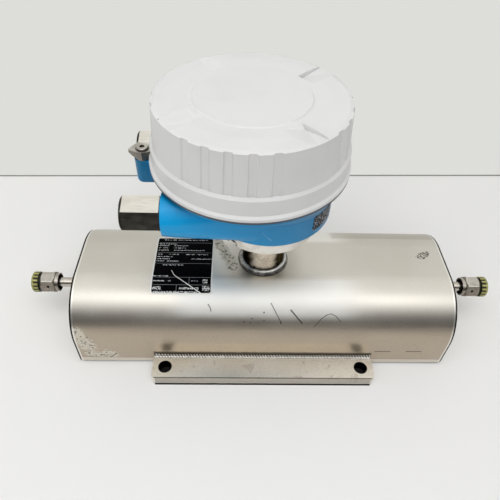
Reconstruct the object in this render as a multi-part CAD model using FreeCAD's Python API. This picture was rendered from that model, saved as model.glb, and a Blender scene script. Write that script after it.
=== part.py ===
import FreeCAD, Part
import math
import os

# Coriolis mass flow meter, small bore, lying on its two mounting bars.
# Millimetres. X runs along the flow axis, front is -Y, up is +Z, z = 0 is the mounting plane.

# Sensor housing
housing_length = 310.0
housing_half = 57.8
housing_top = 69.0
shoulder_r = 40.5
foot_r = 3.3
sheet = 2.0
end_plate_t = 1.6
end_plate_inset = 0.3
edge_break = 0.5

# Mounting bars, one along each foot of the housing
bar_half_length = 91.8
bar_front = 78.1
bar_t = 10.0
bar_corner = 3.5
bar_hole_r = 5.5
bar_hole_x = 81.5
bar_hole_y = 68.1
weld_leg_out = 2.6
weld_leg_up = 3.4
weld_half_length = 91.0

# Process connections on the flow axis
flow_z = 36.3
stub_r = 4.2
stub_bore = 1.6
stub_inner_x = 150.0
socket_end_x = 158.0
gland_r = 6.3
gland_shoulder_x = 182.9
gland_face_x = 186.4
gland_bead = 0.4
nut_inner_x = 178.1
collar_x = 181.0
nut_outer_x = 192.6
nut_flats = 17.5
nut_bevel = 1.2
collar_r = 8.0
nut_recess_r = 7.0
nut_recess_x = 180.0
nut_web_r = 4.6
nut_web_x = 182.6
nut_thread_r = 6.7
nut_face_angle = 20.0
weep_r = 1.2
weep_x = 186.0
plug_r = 6.4
plug_inner_x = 187.5
protector_neck_r = 7.2
protector_neck_x = 194.9
protector_r = 9.0
protector_outer_x = 200.4
protector_edge = 1.1
grip_count = 16
grip_r = 1.0

# Measuring tube and its carrier
tube_r = 2.0
tube_bore = 1.2
tube_bend_in = 100.0
tube_bend_out = 62.0
tube_offset = 36.0
tube_bend_r = 14.0
carrier_half = 112.0
carrier_front = -16.0
carrier_rear = 50.0
carrier_top = 22.5
carrier_t = 2.5
clamp_x = 105.5
clamp_half = (5.0, 8.0)
clamp_top = 42.0
drive_coil_r = 8.0
pickup_coil_r = 6.0
pickup_x = 44.0
coil_height = 8.5
coil_bore = 3.0
magnet_r = 2.2
magnet_depth = 5.0
holder_half = (4.0, 4.0)
holder_below = 4.3
holder_above = 3.6
probe_r = 1.5
probe_span = (124.0, 142.0)

# Neck, on its own vertical axis
neck_x = -1.2
head_y = 1.5
neck_r = 16.8
neck_bore = 14.0
neck_seat_z = 116.0
neck_weld_r = 20.9
neck_weld_h = 4.2
flange_r = 38.0
flange_bottom = 112.5
flange_bevel = 0.8
flange_notch = (8.0, 5.0, 3.6)
flange_notch_angle = -133.5
flange_screw_pcd_r = 28.0
flange_screw_r = 2.5
flange_screw_head_r = 4.2
flange_screw_depth = 12.0
flange_screw_head_h = 5.0

# Transmitter body, with the lid on an axis of its own
lid_x = -15.0
body_bottom = 130.0
bowl_r = 47.4
bowl_edge = 1.6
bowl_floor = 5.0
flare_start = 149.0
flare_end = 166.0
seat_r = 65.6
seat_z = 169.5
upstand_r = 62.6
upstand_top = 186.0
upper_cavity_r = 54.0
upper_cavity_z = 160.0
lower_cavity_r = 42.0
boss_face_x = -73.0
boss_r = 14.7
boss_y = 38.6
boss_z = 151.2
boss_stations = [
    (-73.0, 53.3, 14.7, 136.5, 165.9, 14.55),
    (-52.0, 51.3, 16.5, 132.6, 166.0, 14.5),
    (-30.0, 48.9, 18.0, 130.6, 166.0, 12.5),
    (-8.0, 47.2, 19.0, 130.2, 166.0, 9.0),
    (12.0, 44.6, 19.0, 130.2, 165.5, 7.0),
]
web_right = -40.0
web_bottom = 139.0
web_top = 164.0
lug_half = 5.2
lug_end_x = -95.0
lug_bottom = 150.0
lug_top = 169.5
entry_r = 9.0
entry_inner_x = -22.0

# Cable-entry adapters
adapter_flats = 22.6
adapter_face_angle = 14.3
adapter_outer_x = -99.8
adapter_bevel = 1.6
adapter_spigot_r = 8.9
adapter_inner_x = -60.0
adapter_bore_r = 7.1
adapter_stop_x = -76.0
adapter_stop_r = 6.0
seal_t = 1.0
seal_r = 12.0

# Lid, from the foot up as radius and height
lid_bore = 63.0
lid_foot = 170.4
lid_rim = (69.0, 174.0)
lid_step = (67.4, 175.6)
lid_skirt = (67.2, 186.4)
lid_base = (65.6, 188.3)
lid_shoulder = (63.7, 216.0)
lid_crown = (61.0, 217.0)
lid_disc = (38.7, 37.9)
lid_top = 217.6
lid_valley = (41.0, 216.8)
lid_ridge = (50.0, 217.3)
lid_inner = (57.0, 190.0, 211.0)
flute_groups = 4
flutes_per_group = 5
flute_pitch = 12.4
flute_width = 5.8
flute_floor = 4.4
flute_depth = 0.9
flute_phase = -102.8
pocket_phase = 42.0
pocket_span = (40.5, 45.5)
pocket_width = 15.0
pocket_depth = 3.2
gasket_r = 64.9

# Lid clamp on the lug
clamp_post_x = -88.8
clamp_post_r = 5.4
clamp_tip_x = -98.0
clamp_tip_half = 2.2
clamp_head_z = 176.2
clamp_claw_x = -83.2
clamp_claw_z = 175.0
clamp_wing_z = 170.2
clamp_wing_reach = 11.5
clamp_claw_half = 4.0
clamp_screw_r = 2.0
clamp_screw_depth = 12.0
clamp_screw_head = (4.0, 1.6)
clamp_recess = (3.4, 1.2)

# Electronics
tub_r = 52.0
tub_wall = 2.0
tub_top = 182.0
board_r = 47.0
board_t = 1.6
lower_board_z = 168.0
upper_board_z = 176.0
spacer_r = 3.0
spacer_pcd_r = 40.0
terminal_size = (60.0, 14.0, 10.0)
terminal_way_r = 1.6
terminal_ways = 8
feedthrough_z = (118.0, 126.0)
pin_r = 0.7
pin_count = 8
pin_pcd_r = 9.0
pin_stand = 3.0

# Labels
label_t = 0.4
label_span_x = (-92.0, -42.8)
label_rear_y = 24.0
label_nose_angle = 26.5
label_corner = 2.2
side_label_t = 0.3
side_label_angles = (-51.0, -25.5)
side_label_z = (136.0, 148.5)


def at(x, y, z):
    return FreeCAD.Vector(x, y, z)


along_x = at(1, 0, 0)
up = at(0, 0, 1)
end_x = housing_length / 2.0
wrap_half_length = end_x - end_plate_t
flat_half = housing_half - shoulder_r


def rod(radius, x_low, x_high, y=0.0, z=flow_z):
    """Round bar along X."""
    return Part.makeCylinder(radius, x_high - x_low, at(x_low, y, z), along_x)


def post(radius, z_low, z_high, x, y):
    """Round bar along Z."""
    return Part.makeCylinder(radius, z_high - z_low, at(x, y, z_low), up)


def block(x_span, y_span, z_span):
    """Box between two corners."""
    size = [high - low for low, high in (x_span, y_span, z_span)]
    return Part.makeBox(size[0], size[1], size[2], at(x_span[0], y_span[0], z_span[0]))


def mirrored(shape, side):
    """The left-hand copy of a shape drawn at +X, or the shape itself."""
    if side > 0:
        return shape
    return shape.mirror(at(0, 0, 0), along_x)


def about_head(shape, angle, axis_x):
    """A copy turned about a vertical axis of the head."""
    turned = shape.copy()
    turned.rotate(at(axis_x, head_y, 0), up, angle)
    return turned


def quarter(cy, cz, radius, start, x):
    """Quarter circle in the YZ plane, from the start angle a quarter turn on."""
    angles = [math.radians(start + step) for step in (0, 45, 90)]
    points = [at(x, cy + radius * math.cos(a), cz + radius * math.sin(a)) for a in angles]
    return Part.Arc(points[0], points[1], points[2]).toShape()


def housing_outline(x, inset):
    """D-shaped section of the sensor housing, moved inwards by the inset."""
    half = housing_half - inset
    top = housing_top - inset
    crown = shoulder_r - inset
    heel = max(foot_r - inset, 1.0)
    flat = half - crown
    edges = [
        Part.makeLine(at(x, -half + heel, inset), at(x, half - heel, inset)),
        quarter(half - heel, inset + heel, heel, -90, x),
        Part.makeLine(at(x, half, inset + heel), at(x, half, top - crown)),
        quarter(flat, top - crown, crown, 0, x),
        Part.makeLine(at(x, flat, top), at(x, -flat, top)),
        quarter(-flat, top - crown, crown, 90, x),
        Part.makeLine(at(x, -half, top - crown), at(x, -half, inset + heel)),
        quarter(-half + heel, inset + heel, heel, 180, x),
    ]
    return Part.Wire(edges)


def housing_block(x_low, x_high, inset):
    """Solid of the housing's section between two stations."""
    face = Part.Face(housing_outline(x_low, inset))
    return face.extrude(at(x_high - x_low, 0, 0))


def revolved(points, axis_point, axis):
    """Solid turned from a closed outline."""
    face = Part.Face(Part.makePolygon(points + [points[0]]))
    return face.revolve(axis_point, axis, 360)


def hexagon(flats, x_low, x_high, y, z, face_angle):
    """Hexagon bar along X, with one flat facing front at the given elevation."""
    corner = flats / math.sqrt(3.0)
    points = []
    for step in range(7):
        lift = math.radians(face_angle + 30.0 + 60.0 * step)
        points.append(at(x_low, y - corner * math.cos(lift), z + corner * math.sin(lift)))
    return Part.Face(Part.makePolygon(points)).extrude(at(x_high - x_low, 0, 0))


def bevelled(bar, flats, x_low, x_high, y, z, bevel, low_end, high_end):
    """Hexagon bar with its corners turned off at one or both ends."""
    corner = flats / math.sqrt(3.0)
    inner = flats / 2.0 - 0.2
    reach = corner + 1.0
    run = bevel * (reach - inner) / (corner - inner)
    points = [at(x_low, y, z)]
    if low_end:
        points += [at(x_low, y, z + inner), at(x_low + run, y, z + reach)]
    else:
        points += [at(x_low, y, z + reach)]
    if high_end:
        points += [at(x_high - run, y, z + reach), at(x_high, y, z + inner)]
    else:
        points += [at(x_high, y, z + reach)]
    points += [at(x_high, y, z)]
    return bar.common(revolved(points, at(0, y, z), along_x))


# Sensor housing


def make_sensor_wrap():
    shell = housing_block(-wrap_half_length, wrap_half_length, 0.0)
    shell = shell.cut(housing_block(-wrap_half_length, wrap_half_length, sheet))
    return shell.cut(post(neck_bore, housing_top - 2 * sheet, housing_top + 1, neck_x, head_y))


def make_end_plate(side):
    plate = housing_block(wrap_half_length, end_x, end_plate_inset)
    outer = [edge for edge in plate.Edges if abs(edge.CenterOfMass.x - end_x) < 0.01]
    plate = plate.makeChamfer(edge_break, outer)
    plate = plate.cut(rod(stub_r, wrap_half_length - 1, end_x + 1))
    return mirrored(plate, side)


def make_mounting_bar(side):
    low, high = sorted((side * housing_half, side * bar_front))
    bar = block((-bar_half_length, bar_half_length), (low, high), (0, bar_t))
    outer = []
    for edge in bar.Edges:
        middle = edge.CenterOfMass
        if abs(middle.y - side * bar_front) < 0.01 and abs(middle.z - bar_t / 2) < 0.01:
            outer.append(edge)
    bar = bar.makeFillet(bar_corner, outer)
    rims = [edge for edge in bar.Edges if abs(edge.CenterOfMass.z) < 0.01]
    rims = [edge for edge in rims if abs(edge.CenterOfMass.y) > housing_half + 1]
    bar = bar.makeChamfer(edge_break, rims)
    for x in (-bar_hole_x, bar_hole_x):
        bar = bar.cut(post(bar_hole_r, -1, bar_t + 1, x, side * bar_hole_y))
    return bar


def make_bar_weld(side):
    wall = side * housing_half
    toe = side * (housing_half + weld_leg_out)
    crown = at(-weld_half_length, side * (housing_half + 0.62 * weld_leg_out), bar_t + 0.62 * weld_leg_up)
    root = at(-weld_half_length, wall, bar_t)
    low = at(-weld_half_length, toe, bar_t)
    high = at(-weld_half_length, wall, bar_t + weld_leg_up)
    edges = [Part.makeLine(root, low), Part.Arc(low, crown, high).toShape(), Part.makeLine(high, root)]
    return Part.Face(Part.Wire(edges)).extrude(at(2 * weld_half_length, 0, 0))


# Process connections


def make_gland(side):
    points = [
        at(stub_inner_x, 0, flow_z + tube_r),
        at(stub_inner_x, 0, flow_z + stub_r),
        at(gland_shoulder_x, 0, flow_z + stub_r),
        at(gland_shoulder_x, 0, flow_z + gland_r),
        at(gland_face_x, 0, flow_z + gland_r),
        at(gland_face_x, 0, flow_z + stub_r),
        at(gland_face_x + gland_bead, 0, flow_z + stub_r - gland_bead),
        at(gland_face_x + gland_bead, 0, flow_z + stub_bore + gland_bead),
        at(gland_face_x, 0, flow_z + stub_bore),
        at(socket_end_x, 0, flow_z + stub_bore),
        at(socket_end_x, 0, flow_z + tube_r),
    ]
    return mirrored(revolved(points, at(0, 0, flow_z), along_x), side)


def make_nut(side):
    head = hexagon(nut_flats, collar_x, nut_outer_x, 0, flow_z, nut_face_angle)
    head = bevelled(head, nut_flats, collar_x, nut_outer_x, 0, flow_z, nut_bevel, True, True)
    nut = head.fuse(rod(collar_r, nut_inner_x, collar_x + nut_bevel))
    nut = nut.cut(rod(nut_recess_r, nut_inner_x - 1, nut_recess_x))
    nut = nut.cut(rod(nut_web_r, nut_recess_x - 1, nut_web_x + 1))
    nut = nut.cut(rod(nut_thread_r, nut_web_x, nut_outer_x + 1))
    lift = math.radians(nut_face_angle)
    way = at(0, -math.cos(lift), math.sin(lift))
    start = at(weep_x, -nut_flats * way.y, flow_z - nut_flats * way.z)
    nut = nut.cut(Part.makeCylinder(weep_r, 2 * nut_flats, start, way))
    return mirrored(nut.removeSplitter(), side)


def make_protector(side):
    disc = rod(protector_r, protector_neck_x, protector_outer_x)
    outer = [edge for edge in disc.Edges if abs(edge.CenterOfMass.x - protector_outer_x) < 0.01]
    disc = disc.makeFillet(protector_edge, outer)
    for step in range(grip_count):
        turn = 2 * math.pi * step / grip_count
        y = protector_r * math.cos(turn)
        z = flow_z + protector_r * math.sin(turn)
        disc = disc.cut(rod(grip_r, protector_neck_x - 1, protector_outer_x + 1, y, z))
    cap = rod(plug_r, plug_inner_x, protector_neck_x)
    cap = cap.fuse(rod(protector_neck_r, nut_outer_x, protector_neck_x))
    return mirrored(cap.fuse(disc).removeSplitter(), side)


# Measuring tube and its carrier


def tube_path():
    """Route of the measuring tube: straight runs joined by tangent arcs."""
    corners = [
        at(-socket_end_x, 0, flow_z),
        at(-tube_bend_in, 0, flow_z),
        at(-tube_bend_out, tube_offset, flow_z),
        at(tube_bend_out, tube_offset, flow_z),
        at(tube_bend_in, 0, flow_z),
        at(socket_end_x, 0, flow_z),
    ]
    edges = []
    start = corners[0]
    for before, corner, after in zip(corners, corners[1:], corners[2:]):
        way_in = (corner - before).normalize()
        way_out = (after - corner).normalize()
        turn = way_in.getAngle(way_out)
        setback = tube_bend_r * math.tan(turn / 2)
        arc_start = corner - way_in * setback
        arc_end = corner + way_out * setback
        inward = (way_out - way_in).normalize()
        middle = corner + inward * (tube_bend_r / math.cos(turn / 2) - tube_bend_r)
        edges.append(Part.makeLine(start, arc_start))
        edges.append(Part.Arc(arc_start, middle, arc_end).toShape())
        start = arc_end
    edges.append(Part.makeLine(start, corners[-1]))
    return Part.Wire(edges)


def piped(path, radius):
    ring = Part.Wire(Part.makeCircle(radius, at(-socket_end_x, 0, flow_z), along_x))
    return path.makePipeShell([ring], True, False)


def make_flow_tube():
    path = tube_path()
    return piped(path, tube_r).cut(piped(path, tube_bore))


def make_tube_carrier():
    outer = block((-carrier_half, carrier_half), (carrier_front, carrier_rear), (sheet, carrier_top))
    inner = block(
        (-carrier_half - 1, carrier_half + 1),
        (carrier_front + carrier_t, carrier_rear - carrier_t),
        (sheet - 1, carrier_top - carrier_t),
    )
    return outer.cut(inner)


def make_carrier_clamp(side):
    middle = side * (clamp_x + clamp_half[0])
    x_span = (middle - clamp_half[0], middle + clamp_half[0])
    grip = block(x_span, (-clamp_half[1], clamp_half[1]), (carrier_top, clamp_top))
    return grip.cut(rod(tube_r, x_span[0] - 1, x_span[1] + 1))


def make_coil(x, radius):
    coil = post(radius, carrier_top, carrier_top + coil_height, x, tube_offset)
    return coil.cut(post(coil_bore, carrier_top - 1, carrier_top + coil_height + 1, x, tube_offset))


def make_magnet(x):
    half_x, half_y = holder_half
    holder = block(
        (x - half_x, x + half_x),
        (tube_offset - half_y, tube_offset + half_y),
        (flow_z - holder_below, flow_z + holder_above),
    )
    tip_z = flow_z - holder_below - magnet_depth
    holder = holder.fuse(post(magnet_r, tip_z, flow_z - holder_below, x, tube_offset))
    return holder.cut(rod(tube_r, x - half_x - 1, x + half_x + 1, tube_offset))


def make_temperature_sensor():
    return rod(probe_r, -probe_span[1], -probe_span[0], 0, flow_z + tube_r + probe_r)


# Neck


def make_neck_weld():
    foot = housing_top
    low = at(neck_x + neck_weld_r, head_y, foot)
    high = at(neck_x + neck_r, head_y, foot + neck_weld_h)
    bulge = 0.68
    crown = at(
        neck_x + neck_r + bulge * (neck_weld_r - neck_r),
        head_y,
        foot + bulge * neck_weld_h,
    )
    root = at(neck_x + neck_r, head_y, foot)
    edges = [Part.makeLine(root, low), Part.Arc(low, crown, high).toShape(), Part.makeLine(high, root)]
    return Part.Face(Part.Wire(edges)).revolve(at(neck_x, head_y, 0), up, 360)


def make_neck_tube():
    tube = post(neck_r, housing_top, neck_seat_z, neck_x, head_y)
    return tube.cut(post(neck_bore, housing_top - 1, neck_seat_z + 1, neck_x, head_y))


def flange_screw_places():
    for step in range(4):
        turn = math.radians(45 + 90 * step)
        x = neck_x + flange_screw_pcd_r * math.cos(turn)
        yield x, head_y + flange_screw_pcd_r * math.sin(turn)


def make_neck_flange():
    flange = post(flange_r, flange_bottom, body_bottom, neck_x, head_y)
    lower = [edge for edge in flange.Edges if abs(edge.CenterOfMass.z - flange_bottom) < 0.01]
    flange = flange.makeChamfer(flange_bevel, lower)
    flange = flange.cut(post(neck_r, flange_bottom - 1, neck_seat_z, neck_x, head_y))
    flange = flange.cut(post(neck_bore, neck_seat_z - 1, body_bottom + 1, neck_x, head_y))
    width, depth, height = flange_notch
    notch = block(
        (neck_x + flange_r - depth, neck_x + flange_r + 1),
        (head_y - width / 2, head_y + width / 2),
        (flange_bottom - 1, flange_bottom + height),
    )
    flange = flange.cut(about_head(notch, flange_notch_angle, neck_x))
    for x, y in flange_screw_places():
        flange = flange.cut(post(flange_screw_r, body_bottom - flange_screw_depth, body_bottom + 1, x, y))
    return flange


def make_flange_screws():
    screws = []
    seat = body_bottom + bowl_floor
    for x, y in flange_screw_places():
        screw = post(flange_screw_r, body_bottom - flange_screw_depth, seat, x, y)
        screw = screw.fuse(post(flange_screw_head_r, seat, seat + flange_screw_head_h, x, y))
        screws.append(screw.cut(post(flange_screw_r * 0.8, seat + 2.5, seat + 6, x, y)))
    return Part.makeCompound(screws)


def make_feedthrough():
    low, high = feedthrough_z
    bung = post(neck_bore, low, high, neck_x, head_y)
    for step in range(pin_count):
        turn = 2 * math.pi * step / pin_count
        x = neck_x + pin_pcd_r * math.cos(turn)
        y = head_y + pin_pcd_r * math.sin(turn)
        bung = bung.fuse(post(pin_r, low - pin_stand, high + pin_stand, x, y))
    return bung


# Transmitter body


def boss_section(station, side):
    """Rounded rectangle of one cable boss at a station along X."""
    x, reach, half, low, high, corner = station
    inner, outer = sorted((head_y + side * reach, head_y + side * (reach - 2 * half)))
    rounds = [
        (outer - corner, low + corner, -90),
        (outer - corner, high - corner, 0),
        (inner + corner, high - corner, 90),
        (inner + corner, low + corner, 180),
    ]
    arcs = [quarter(y, z, corner, start, x) for y, z, start in rounds]
    edges = []
    for arc, following in zip(arcs, arcs[1:] + arcs[:1]):
        edges.append(arc)
        edges.append(Part.makeLine(arc.lastVertex().Point, following.firstVertex().Point))
    return Part.Wire(edges)


def make_boss(side):
    """One cable boss, growing out of the bowl: side -1 is the front one."""
    return Part.makeLoft([boss_section(station, side) for station in boss_stations], True, False)


def make_flare():
    lower = Part.Wire(Part.makeCircle(bowl_r, at(neck_x, head_y, flare_start), up))
    upper = Part.Wire(Part.makeCircle(seat_r, at(lid_x, head_y, flare_end), up))
    return Part.makeLoft([lower, upper], True, True)


def make_lug():
    start_x = boss_face_x + 20.0
    arm = block((lug_end_x + lug_half, start_x), (head_y - lug_half, head_y + lug_half), (lug_bottom, lug_top))
    tip = post(lug_half, lug_bottom, lug_top, lug_end_x + lug_half, head_y)
    lug = arm.fuse(tip).removeSplitter()
    lower = [edge for edge in lug.Edges if abs(edge.CenterOfMass.z - lug_bottom) < 0.01]
    lower = [edge for edge in lower if edge.CenterOfMass.x < start_x - 1]
    return lug.makeFillet(2.5, lower)


def make_transmitter_body():
    bowl = post(bowl_r, body_bottom, flare_start, neck_x, head_y)
    rim = [edge for edge in bowl.Edges if abs(edge.CenterOfMass.z - body_bottom) < 0.01]
    body = bowl.makeFillet(bowl_edge, rim)
    web_span = (head_y - boss_y, head_y + boss_y)
    pieces = [
        make_flare(),
        post(seat_r, flare_end, seat_z, lid_x, head_y),
        post(upstand_r, seat_z, upstand_top, lid_x, head_y),
        block((boss_face_x, web_right), web_span, (web_bottom, web_top)),
        make_boss(-1),
        make_boss(1),
        make_lug(),
    ]
    for piece in pieces:
        body = body.fuse(piece)
    body = body.cut(block((boss_face_x, bowl_r), (-2 * boss_y, 2 * boss_y), (flange_bottom, body_bottom)))
    floor = body_bottom + bowl_floor
    body = body.cut(post(lower_cavity_r, floor, upper_cavity_z, neck_x, head_y))
    body = body.cut(post(upper_cavity_r, upper_cavity_z, upstand_top + 1, lid_x, head_y))
    body = body.cut(post(neck_bore, body_bottom - 1, floor + 1, neck_x, head_y))
    for side in (-1, 1):
        body = body.cut(rod(entry_r, boss_face_x - 1, entry_inner_x, head_y + side * boss_y, boss_z))
    for x, y in flange_screw_places():
        body = body.cut(post(flange_screw_r, body_bottom - 1, floor + 1, x, y))
    hole_bottom = lug_top - clamp_screw_depth
    return body.cut(post(clamp_screw_r, hole_bottom, lug_top + 1, clamp_post_x, head_y))


def make_adapter(side):
    y = head_y + side * boss_y
    seat_x = boss_face_x - seal_t
    head = hexagon(adapter_flats, adapter_outer_x, seat_x, y, boss_z, adapter_face_angle)
    head = bevelled(head, adapter_flats, adapter_outer_x, seat_x, y, boss_z, adapter_bevel, True, False)
    adapter = head.fuse(rod(adapter_spigot_r, seat_x - 1, adapter_inner_x, y, boss_z))
    adapter = adapter.cut(rod(adapter_bore_r, adapter_outer_x - 1, adapter_stop_x, y, boss_z))
    adapter = adapter.cut(rod(adapter_stop_r, adapter_stop_x - 1, adapter_inner_x + 1, y, boss_z))
    return adapter.removeSplitter()


def make_adapter_seals():
    seals = []
    for side in (-1, 1):
        y = head_y + side * boss_y
        seal = rod(seal_r, boss_face_x - seal_t, boss_face_x, y, boss_z)
        seals.append(seal.cut(rod(adapter_spigot_r, boss_face_x - seal_t - 1, boss_face_x + 1, y, boss_z)))
    return Part.makeCompound(seals)


# Lid and its lock


def make_flute():
    """Cutter for one grip flute with sloping walls, leaning with the lid's draft."""
    rise = lid_shoulder[1] - lid_base[1]
    draft = math.degrees(math.atan2(lid_base[0] - lid_shoulder[0], rise))
    floor_half = flute_floor / 2
    mouth_half = flute_width / 2
    outer = 3 * flute_depth
    section = Part.makePolygon(
        [
            at(0, -floor_half, 0),
            at(flute_depth, -mouth_half, 0),
            at(outer, -mouth_half, 0),
            at(outer, mouth_half, 0),
            at(flute_depth, mouth_half, 0),
            at(0, floor_half, 0),
            at(0, -floor_half, 0),
        ]
    )
    cutter = Part.Face(section).extrude(at(0, 0, rise + 6))
    cutter.rotate(at(0, 0, 0), at(0, 1, 0), -draft)
    cutter.translate(at(lid_x + lid_base[0] - flute_depth, head_y, lid_base[1]))
    return cutter


def make_pocket():
    """Cutter for one thumb pocket: a scoop that falls to a straight radial wall and rises to the rim."""
    level = lid_ridge[1]
    inner, deepest = pocket_span
    reach = lid_shoulder[0]
    scoop = Part.makePolygon(
        [
            at(inner, 0, level),
            at(deepest, 0, level - pocket_depth),
            at(reach, 0, lid_shoulder[1]),
            at(reach, 0, level + 1),
            at(inner, 0, level + 1),
            at(inner, 0, level),
        ]
    )
    scoop = Part.Face(scoop).extrude(at(0, -pocket_width, 0))
    ramp = Part.makePolygon(
        [
            at(inner, 0, level - pocket_depth),
            at(inner, 0, level + 1),
            at(inner, -pocket_width, level + 1),
            at(inner, -pocket_width, level),
            at(inner, 0, level - pocket_depth),
        ]
    )
    cutter = scoop.common(Part.Face(ramp).extrude(at(reach - inner, 0, 0)))
    cutter.translate(at(lid_x, head_y, 0))
    return cutter


def make_lid():
    inner_r, ledge_z, ceiling = lid_inner
    outline = [
        (lid_bore, lid_foot),
        (lid_rim[0], lid_foot),
        lid_rim,
        lid_step,
        lid_skirt,
        lid_base,
        lid_shoulder,
        lid_crown,
        lid_ridge,
        lid_valley,
        (lid_disc[0], lid_valley[1]),
        (lid_disc[1], lid_top),
        (0, lid_top),
        (0, ceiling),
        (inner_r, ceiling),
        (inner_r, ledge_z),
        (lid_bore, ledge_z),
    ]
    points = [at(lid_x + r, head_y, z) for r, z in outline]
    lid = revolved(points, at(lid_x, head_y, 0), up)
    flute = make_flute()
    pocket = make_pocket()
    for group in range(flute_groups):
        around = 360.0 * group / flute_groups
        lid = lid.cut(about_head(pocket, pocket_phase + around, lid_x))
        for step in range(flutes_per_group):
            turn = flute_phase + around + flute_pitch * (step - (flutes_per_group - 1) / 2)
            lid = lid.cut(about_head(flute, turn, lid_x))
    return lid


def make_lid_gasket():
    ring = post(gasket_r, seat_z, lid_foot, lid_x, head_y)
    return ring.cut(post(upstand_r, seat_z - 1, lid_foot + 1, lid_x, head_y))


def make_lid_clamp():
    pillar = post(clamp_post_r, lug_top, clamp_head_z, clamp_post_x, head_y)
    wing_points = [
        at(clamp_post_x, head_y - clamp_post_r - 0.3, lug_top),
        at(clamp_post_x - 3.5, head_y - clamp_post_r + 0.6, lug_top),
        at(clamp_tip_x, head_y - clamp_tip_half, lug_top),
        at(clamp_tip_x, head_y - clamp_tip_half * 0.3, lug_top),
        at(clamp_post_x - 4.4, head_y + clamp_post_r + 1.9, lug_top),
        at(clamp_claw_x, head_y + clamp_claw_half + 1.2, lug_top),
        at(clamp_claw_x, head_y - clamp_claw_half, lug_top),
    ]
    outline = Part.makePolygon(wing_points + [wing_points[0]])
    wing = Part.Face(outline).extrude(at(0, 0, clamp_head_z - lug_top))
    rise = clamp_head_z - clamp_wing_z
    cone = Part.makeCone(clamp_post_r, clamp_wing_reach, rise, at(clamp_post_x, head_y, clamp_wing_z), up)
    clamp = pillar.fuse(wing.common(cone)).removeSplitter()
    clamp = clamp.cut(post(lid_rim[0] + 0.3, lug_top, clamp_claw_z, lid_x, head_y))
    return clamp.cut(post(clamp_screw_r, lug_top - 1, clamp_head_z + 1, clamp_post_x, head_y))


def make_clamp_screw():
    head_r, head_h = clamp_screw_head
    recess_flats, recess_h = clamp_recess
    shank = post(clamp_screw_r, lug_top - clamp_screw_depth, clamp_head_z, clamp_post_x, head_y)
    screw = shank.fuse(post(head_r, clamp_head_z, clamp_head_z + head_h, clamp_post_x, head_y))
    rim = [edge for edge in screw.Edges if abs(edge.CenterOfMass.z - clamp_head_z - head_h) < 0.01]
    screw = screw.makeChamfer(0.4, rim)
    socket = hexagon(recess_flats, 0, recess_h + 1, 0, 0, 0)
    socket.rotate(at(0, 0, 0), at(0, 1, 0), -90)
    socket.translate(at(clamp_post_x, head_y, clamp_head_z + head_h - recess_h))
    return screw.cut(socket)


# Electronics


def make_electronics_carrier():
    tub = post(tub_r, upper_cavity_z, tub_top, lid_x, head_y)
    return tub.cut(post(tub_r - tub_wall, upper_cavity_z + tub_wall, tub_top + 1, lid_x, head_y))


def make_board(z):
    return post(board_r, z, z + board_t, lid_x, head_y)


def make_board_spacers():
    spacers = []
    gaps = ((upper_cavity_z + tub_wall, lower_board_z), (lower_board_z + board_t, upper_board_z))
    for step in range(4):
        turn = math.radians(45 + 90 * step)
        x = lid_x + spacer_pcd_r * math.cos(turn)
        y = head_y + spacer_pcd_r * math.sin(turn)
        for low, high in gaps:
            spacers.append(post(spacer_r, low, high, x, y))
    return Part.makeCompound(spacers)


def make_terminal_block():
    length, width, height = terminal_size
    base = upper_board_z + board_t
    body = block(
        (lid_x - length / 2, lid_x + length / 2),
        (head_y - 22.0, head_y - 22.0 + width),
        (base, base + height),
    )
    pitch = length / terminal_ways
    for step in range(terminal_ways):
        x = lid_x - length / 2 + pitch * (step + 0.5)
        body = body.cut(post(terminal_way_r, base + height - 5, base + height + 1, x, head_y - 22.0 + width / 2))
    return body


# Labels


def make_nameplate():
    """Label that lies on the flat top and follows the front shoulder down."""
    x_low, x_high = label_span_x
    centre_y = -flat_half
    centre_z = housing_top - shoulder_r
    outer_r = shoulder_r + label_t

    def on_arc(radius, angle):
        turn = math.radians(angle)
        return at(x_low, centre_y - radius * math.sin(turn), centre_z + radius * math.cos(turn))

    half = label_nose_angle / 2
    edges = [
        Part.makeLine(at(x_low, label_rear_y, housing_top), at(x_low, centre_y, housing_top)),
        Part.Arc(on_arc(shoulder_r, 0), on_arc(shoulder_r, half), on_arc(shoulder_r, 2 * half)).toShape(),
        Part.makeLine(on_arc(shoulder_r, 2 * half), on_arc(outer_r, 2 * half)),
        Part.Arc(on_arc(outer_r, 2 * half), on_arc(outer_r, half), on_arc(outer_r, 0)).toShape(),
        Part.makeLine(on_arc(outer_r, 0), at(x_low, label_rear_y, housing_top + label_t)),
        Part.makeLine(at(x_low, label_rear_y, housing_top + label_t), at(x_low, label_rear_y, housing_top)),
    ]
    label = Part.Face(Part.Wire(edges)).extrude(at(x_high - x_low, 0, 0))
    front_y = on_arc(outer_r, 2 * half).y
    trim = block((x_low, x_high), (front_y, label_rear_y), (housing_top - 10, housing_top + 10))
    corners = [edge for edge in trim.Edges if abs(edge.CenterOfMass.z - housing_top) < 0.01]
    return label.common(trim.makeFillet(label_corner, corners))


def make_side_label():
    start, end = side_label_angles
    low, high = side_label_z
    outer = Part.makeCylinder(bowl_r + side_label_t, high - low, at(0, 0, 0), up, end - start)
    inner = Part.makeCylinder(bowl_r, high - low, at(0, 0, 0), up, end - start)
    label = outer.cut(inner)
    label.rotate(at(0, 0, 0), up, start)
    label.translate(at(neck_x, head_y, low))
    return label


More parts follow.
